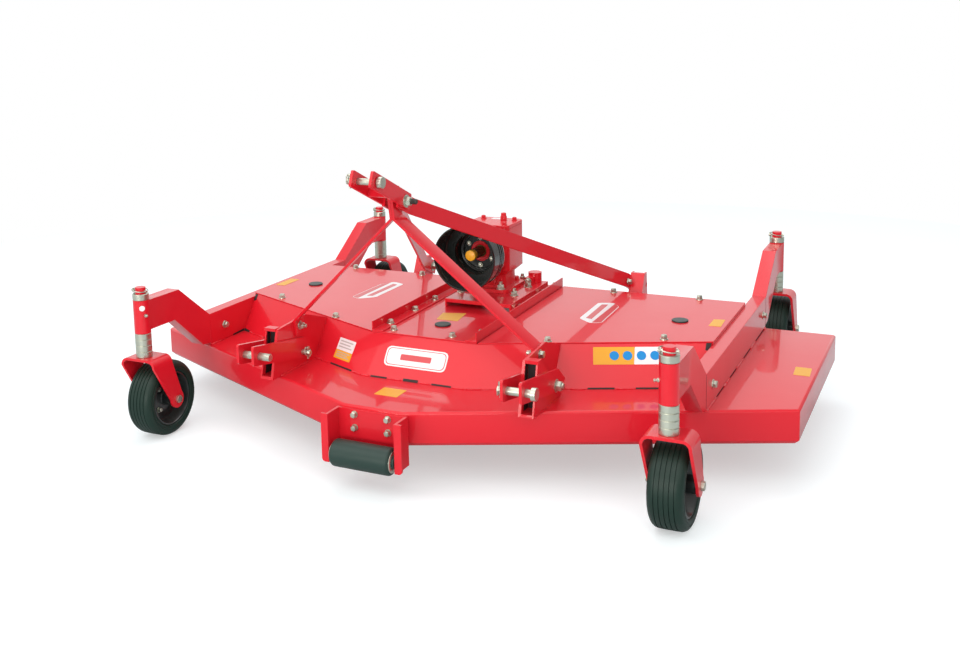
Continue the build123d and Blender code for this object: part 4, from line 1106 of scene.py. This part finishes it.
bm = bmesh.new()
thin_plate(bm, name_plate, CENTRE_WALL_OUT, 0.0008, 0.018)
thin_plate(bm, info_top, LEFT_WALL_OUT, rounding=0.003)
thin_plate(bm, strip_white, RIGHT_WALL_OUT, rounding=0.002)
for outline in (badge, flipped(badge)):
    thin_plate(bm, outline, Z, rounding=0.012)
thin_plate(bm, lid_label, Z, rounding=0.003)
# A small white disc on the front-left castor tube: a painted highlight standing for a hot spot of reflection
tube_side = Vector((1, -1, 0)).normalized()
round_plate(bm, stem_foot("front_left") + Z * 0.424 + tube_side * 0.0234, tube_side, 0.0085, 0.0020)
piece_from(bm, "white_plates_and_painted_highlight", white_film, "chassis")
bm = bmesh.new()
thin_plate(bm, name_border, CENTRE_WALL_OUT, 0.0001, 0.016, 0.0009)
thin_plate(bm, name_bar, CENTRE_WALL_OUT, 0.0001, 0.004, 0.0013)
for half, rounding in ((badge_band, 0.006), (badge_bar, 0.003)):
    for outline in (half, flipped(half)):
        thin_plate(bm, outline, Z, 0.0002, rounding, 0.0007)
piece_from(bm, "red_borders", red_film, "chassis")
bm = bmesh.new()
thin_plate(bm, name_face, CENTRE_WALL_OUT, 0.0001, 0.015, 0.0011)
piece_from(bm, "name_plate_face", white_film, "chassis")
bm = bmesh.new()
thin_plate(bm, info_foot, LEFT_WALL_OUT, rounding=0.003)
thin_plate(bm, strip_yellow, RIGHT_WALL_OUT, rounding=0.002)
thin_plate(bm, nose_film, Z, rounding=0.003)
for outline in COVER_FILMS:
    thin_plate(bm, on_top(outline, COVER_TOP), Z, rounding=0.003)
thin_plate(bm, end_film, Z, rounding=0.003)
piece_from(bm, "yellow_films", yellow_film, "chassis")
bm = bmesh.new()
for x in DISC_CENTRES_X:
    round_plate(bm, on_wall(x, 0.3036), RIGHT_WALL_OUT, 0.0135, 0.0002, 0.0007)
piece_from(bm, "blue_discs", blue_film, "chassis")

# Plain bars where the real films carry print
bm = bmesh.new()
for row in range(3):
    for outline in (info_top, info_foot):
        share = 0.24 + row * 0.24
        left_end, right_end = outline[0].lerp(outline[3], share), outline[1].lerp(outline[2], share)
        band = (outline[3] - outline[0]) * 0.05
        start = left_end.lerp(right_end, 0.10)
        stop = left_end.lerp(right_end, 0.88 - 0.12 * (row % 2))
        corners = [start - band, stop - band, stop + band, start + band]
        thin_plate(bm, corners, LEFT_WALL_OUT, 0.0001, 0.0004, 0.0007)
piece_from(bm, "grey_bars", grey_film, "chassis")

# Dark sheets as painted shade in the slots and gaps at the feet of the walls and beams, and in the hitch
# channels

SLOT_FOOT = DECK_TOP + 0.0001
BEAM_SLOT_FOOT = DECK_TOP + 0.0003
WALL_SLOTS = (
    (-0.138, -0.083, 0.2262), (0.064, 0.127, 0.2262), (-0.029, 0.020, 0.2290), (-0.316, -0.215, 0.2262),
    (0.489, 0.559, 0.2262), (0.613, 0.672, 0.2262), (-0.559, -0.489, 0.2262), (-0.672, -0.613, 0.2262),
)
WALL_END_GAPS = (
    ((0.758, SLOT_FOOT), (0.789, SLOT_FOOT), (0.789, 0.2300), (0.758, 0.2275)),
    ((0.776, 0.3160), (0.789, 0.3130), (0.789, 0.3335), (0.776, 0.3335)),
)
FOOT_NOTCH = ((-0.370, BEAM_SLOT_FOOT), (-0.308, BEAM_SLOT_FOOT), (-0.308, 0.2300), (-0.370, 0.2270))
CHANNEL_SIDE = ((-0.6990, 0.2320), (-0.6660, 0.2320), (-0.6660, 0.3560), (-0.6800, 0.3560))
CHANNEL_BACK_X = (0.3990, 0.4290)
CHANNEL_BACK_Y = -0.6642
CHANNEL_BACK_Z = (0.2310, 0.3590)
BEAM_SLOTS = (
    (-0.367, -0.273, BEAM_SLOT_FOOT, 0.2262), (-0.188, -0.098, BEAM_SLOT_FOOT, 0.2262),
    (0.012, 0.120, BEAM_SLOT_FOOT, 0.2262), (0.210, 0.356, BEAM_SLOT_FOOT, 0.2262),
    (-0.4928, -0.4912, 0.2320, 0.3250), (0.3842, 0.3858, 0.2320, 0.3250),
)
bm = bmesh.new()
# Dark strips in the weld gaps along the wall feet: painted shade
for from_x, to_x, top in WALL_SLOTS:
    out = CENTRE_WALL_OUT if abs(from_x) < NOSE_HALF else (LEFT_WALL_OUT if from_x < 0 else RIGHT_WALL_OUT)
    thin_plate(bm, wall_patch(*rectangle(from_x, to_x, SLOT_FOOT, top)), out, 0.0004, 0.001)
for sign, out in ((-1, LEFT_WALL_OUT), (1, RIGHT_WALL_OUT)):
    # Dark patches at the wall ends and in the beam-foot notch: painted shade in the gaps by the beams
    for corners in WALL_END_GAPS:
        outline = [on_wall(sign * x, z) for x, z in corners]
        thin_plate(bm, outline[::sign], out, 0.0004, 0.0008)
    outline = [(sign * BEAM_INNER, y, z) for y, z in FOOT_NOTCH]
    thin_plate(bm, outline[::-sign], X * -sign, 0.0003, 0.0008)
    # Dark sheets on the hitch channels' walls and back: painted shade in the channel mouths
    for x, way in ((CHANNEL_INNER, sign), (CHANNEL_OUTER, -sign)):
        outline = [(sign * x, y, z) for y, z in CHANNEL_SIDE]
        thin_plate(bm, outline[::way], X * way, 0.0003, 0.001)
    channel_back = rectangle(*sorted(sign * x for x in CHANNEL_BACK_X), *CHANNEL_BACK_Z)
    thin_plate(bm, [(x, CHANNEL_BACK_Y, z) for x, z in channel_back], Y * -1, 0.0004, 0.001)
    for slot in BEAM_SLOTS:
        outline = [(sign * BEAM_OUTER, y, z) for y, z in rectangle(*slot)]
        thin_plate(bm, outline[::sign], X * sign, 0.0003, 0.0006)
piece_from(bm, "painted_shade_slots", slot_shadow, "chassis")

# Folded lips at the outer ends of the side covers, and the roller bracket's lower edge
bm = bmesh.new()
block(bm, (0, -0.8160, 0.1235), (0.2030, 0.0076, 0.0140))
for sign in (-1, 1):
    block(bm, (sign * 0.7920, 0.0105, 0.3307), (0.0040, 0.4710, 0.0068))
bmesh.ops.bevel(bm, geom=bm.edges[:], offset=0.0008, segments=2, affect="EDGES", clamp_overlap=True)
piece_from(bm, "sheet_edges", red_paint, "chassis")

# Welds along the feet of walls, beams and hitch plates, and beside the castor tubes

WELD_LINE = DECK_TOP + 0.0012
TUBE_WELD_FOOT = 0.354
TUBE_WELD_TOP = 0.442
WALL_WELDS = (
    (-0.168, -0.142), (-0.078, -0.034), (0.025, 0.060), (0.131, 0.168), (-0.485, -0.440), (-0.385, -0.320),
    (-0.212, -0.172), (0.172, 0.215), (0.320, 0.382), (0.445, 0.485), (0.563, 0.608), (0.676, 0.755),
    (-0.608, -0.563), (-0.755, -0.676),
)
BEAM_RUNS = ((-0.490, -0.370), (-0.270, -0.191), (-0.095, 0.009), (0.123, 0.207), (0.358, 0.383))
STANDING_WELDS = (
    (BEAM_OUTER, 0.0028, BEAM_RUNS),
    (BEAM_INNER, 0.0028, ((-0.488, -0.440), (0.250, 0.380))),
    (0.3905, 0.0030, ((-0.673, -0.524),)),
    (0.4345, 0.0030, ((-0.712, -0.640),)),
)
bm = bmesh.new()
for from_x, to_x in WALL_WELDS:
    add_weld(bm, on_wall(from_x, WELD_LINE), on_wall(to_x, WELD_LINE), 0.0028)
for sign in (-1, 1):
    for x, size, runs in STANDING_WELDS:
        for from_y, to_y in runs:
            add_weld(bm, (sign * x, from_y, WELD_LINE), (sign * x, to_y, WELD_LINE), size)
for place in PLACES:
    pivot = stem_foot(place)
    arm_side = 0.0040 if "front" in place else -0.0040
    for sign in (-1, 1):
        foot = pivot + Vector((sign * 0.0225, arm_side, 0))
        add_weld(bm, foot + Z * TUBE_WELD_FOOT, foot + Z * TUBE_WELD_TOP, 0.0022)
piece_from(bm, "welds", red_paint, "chassis")
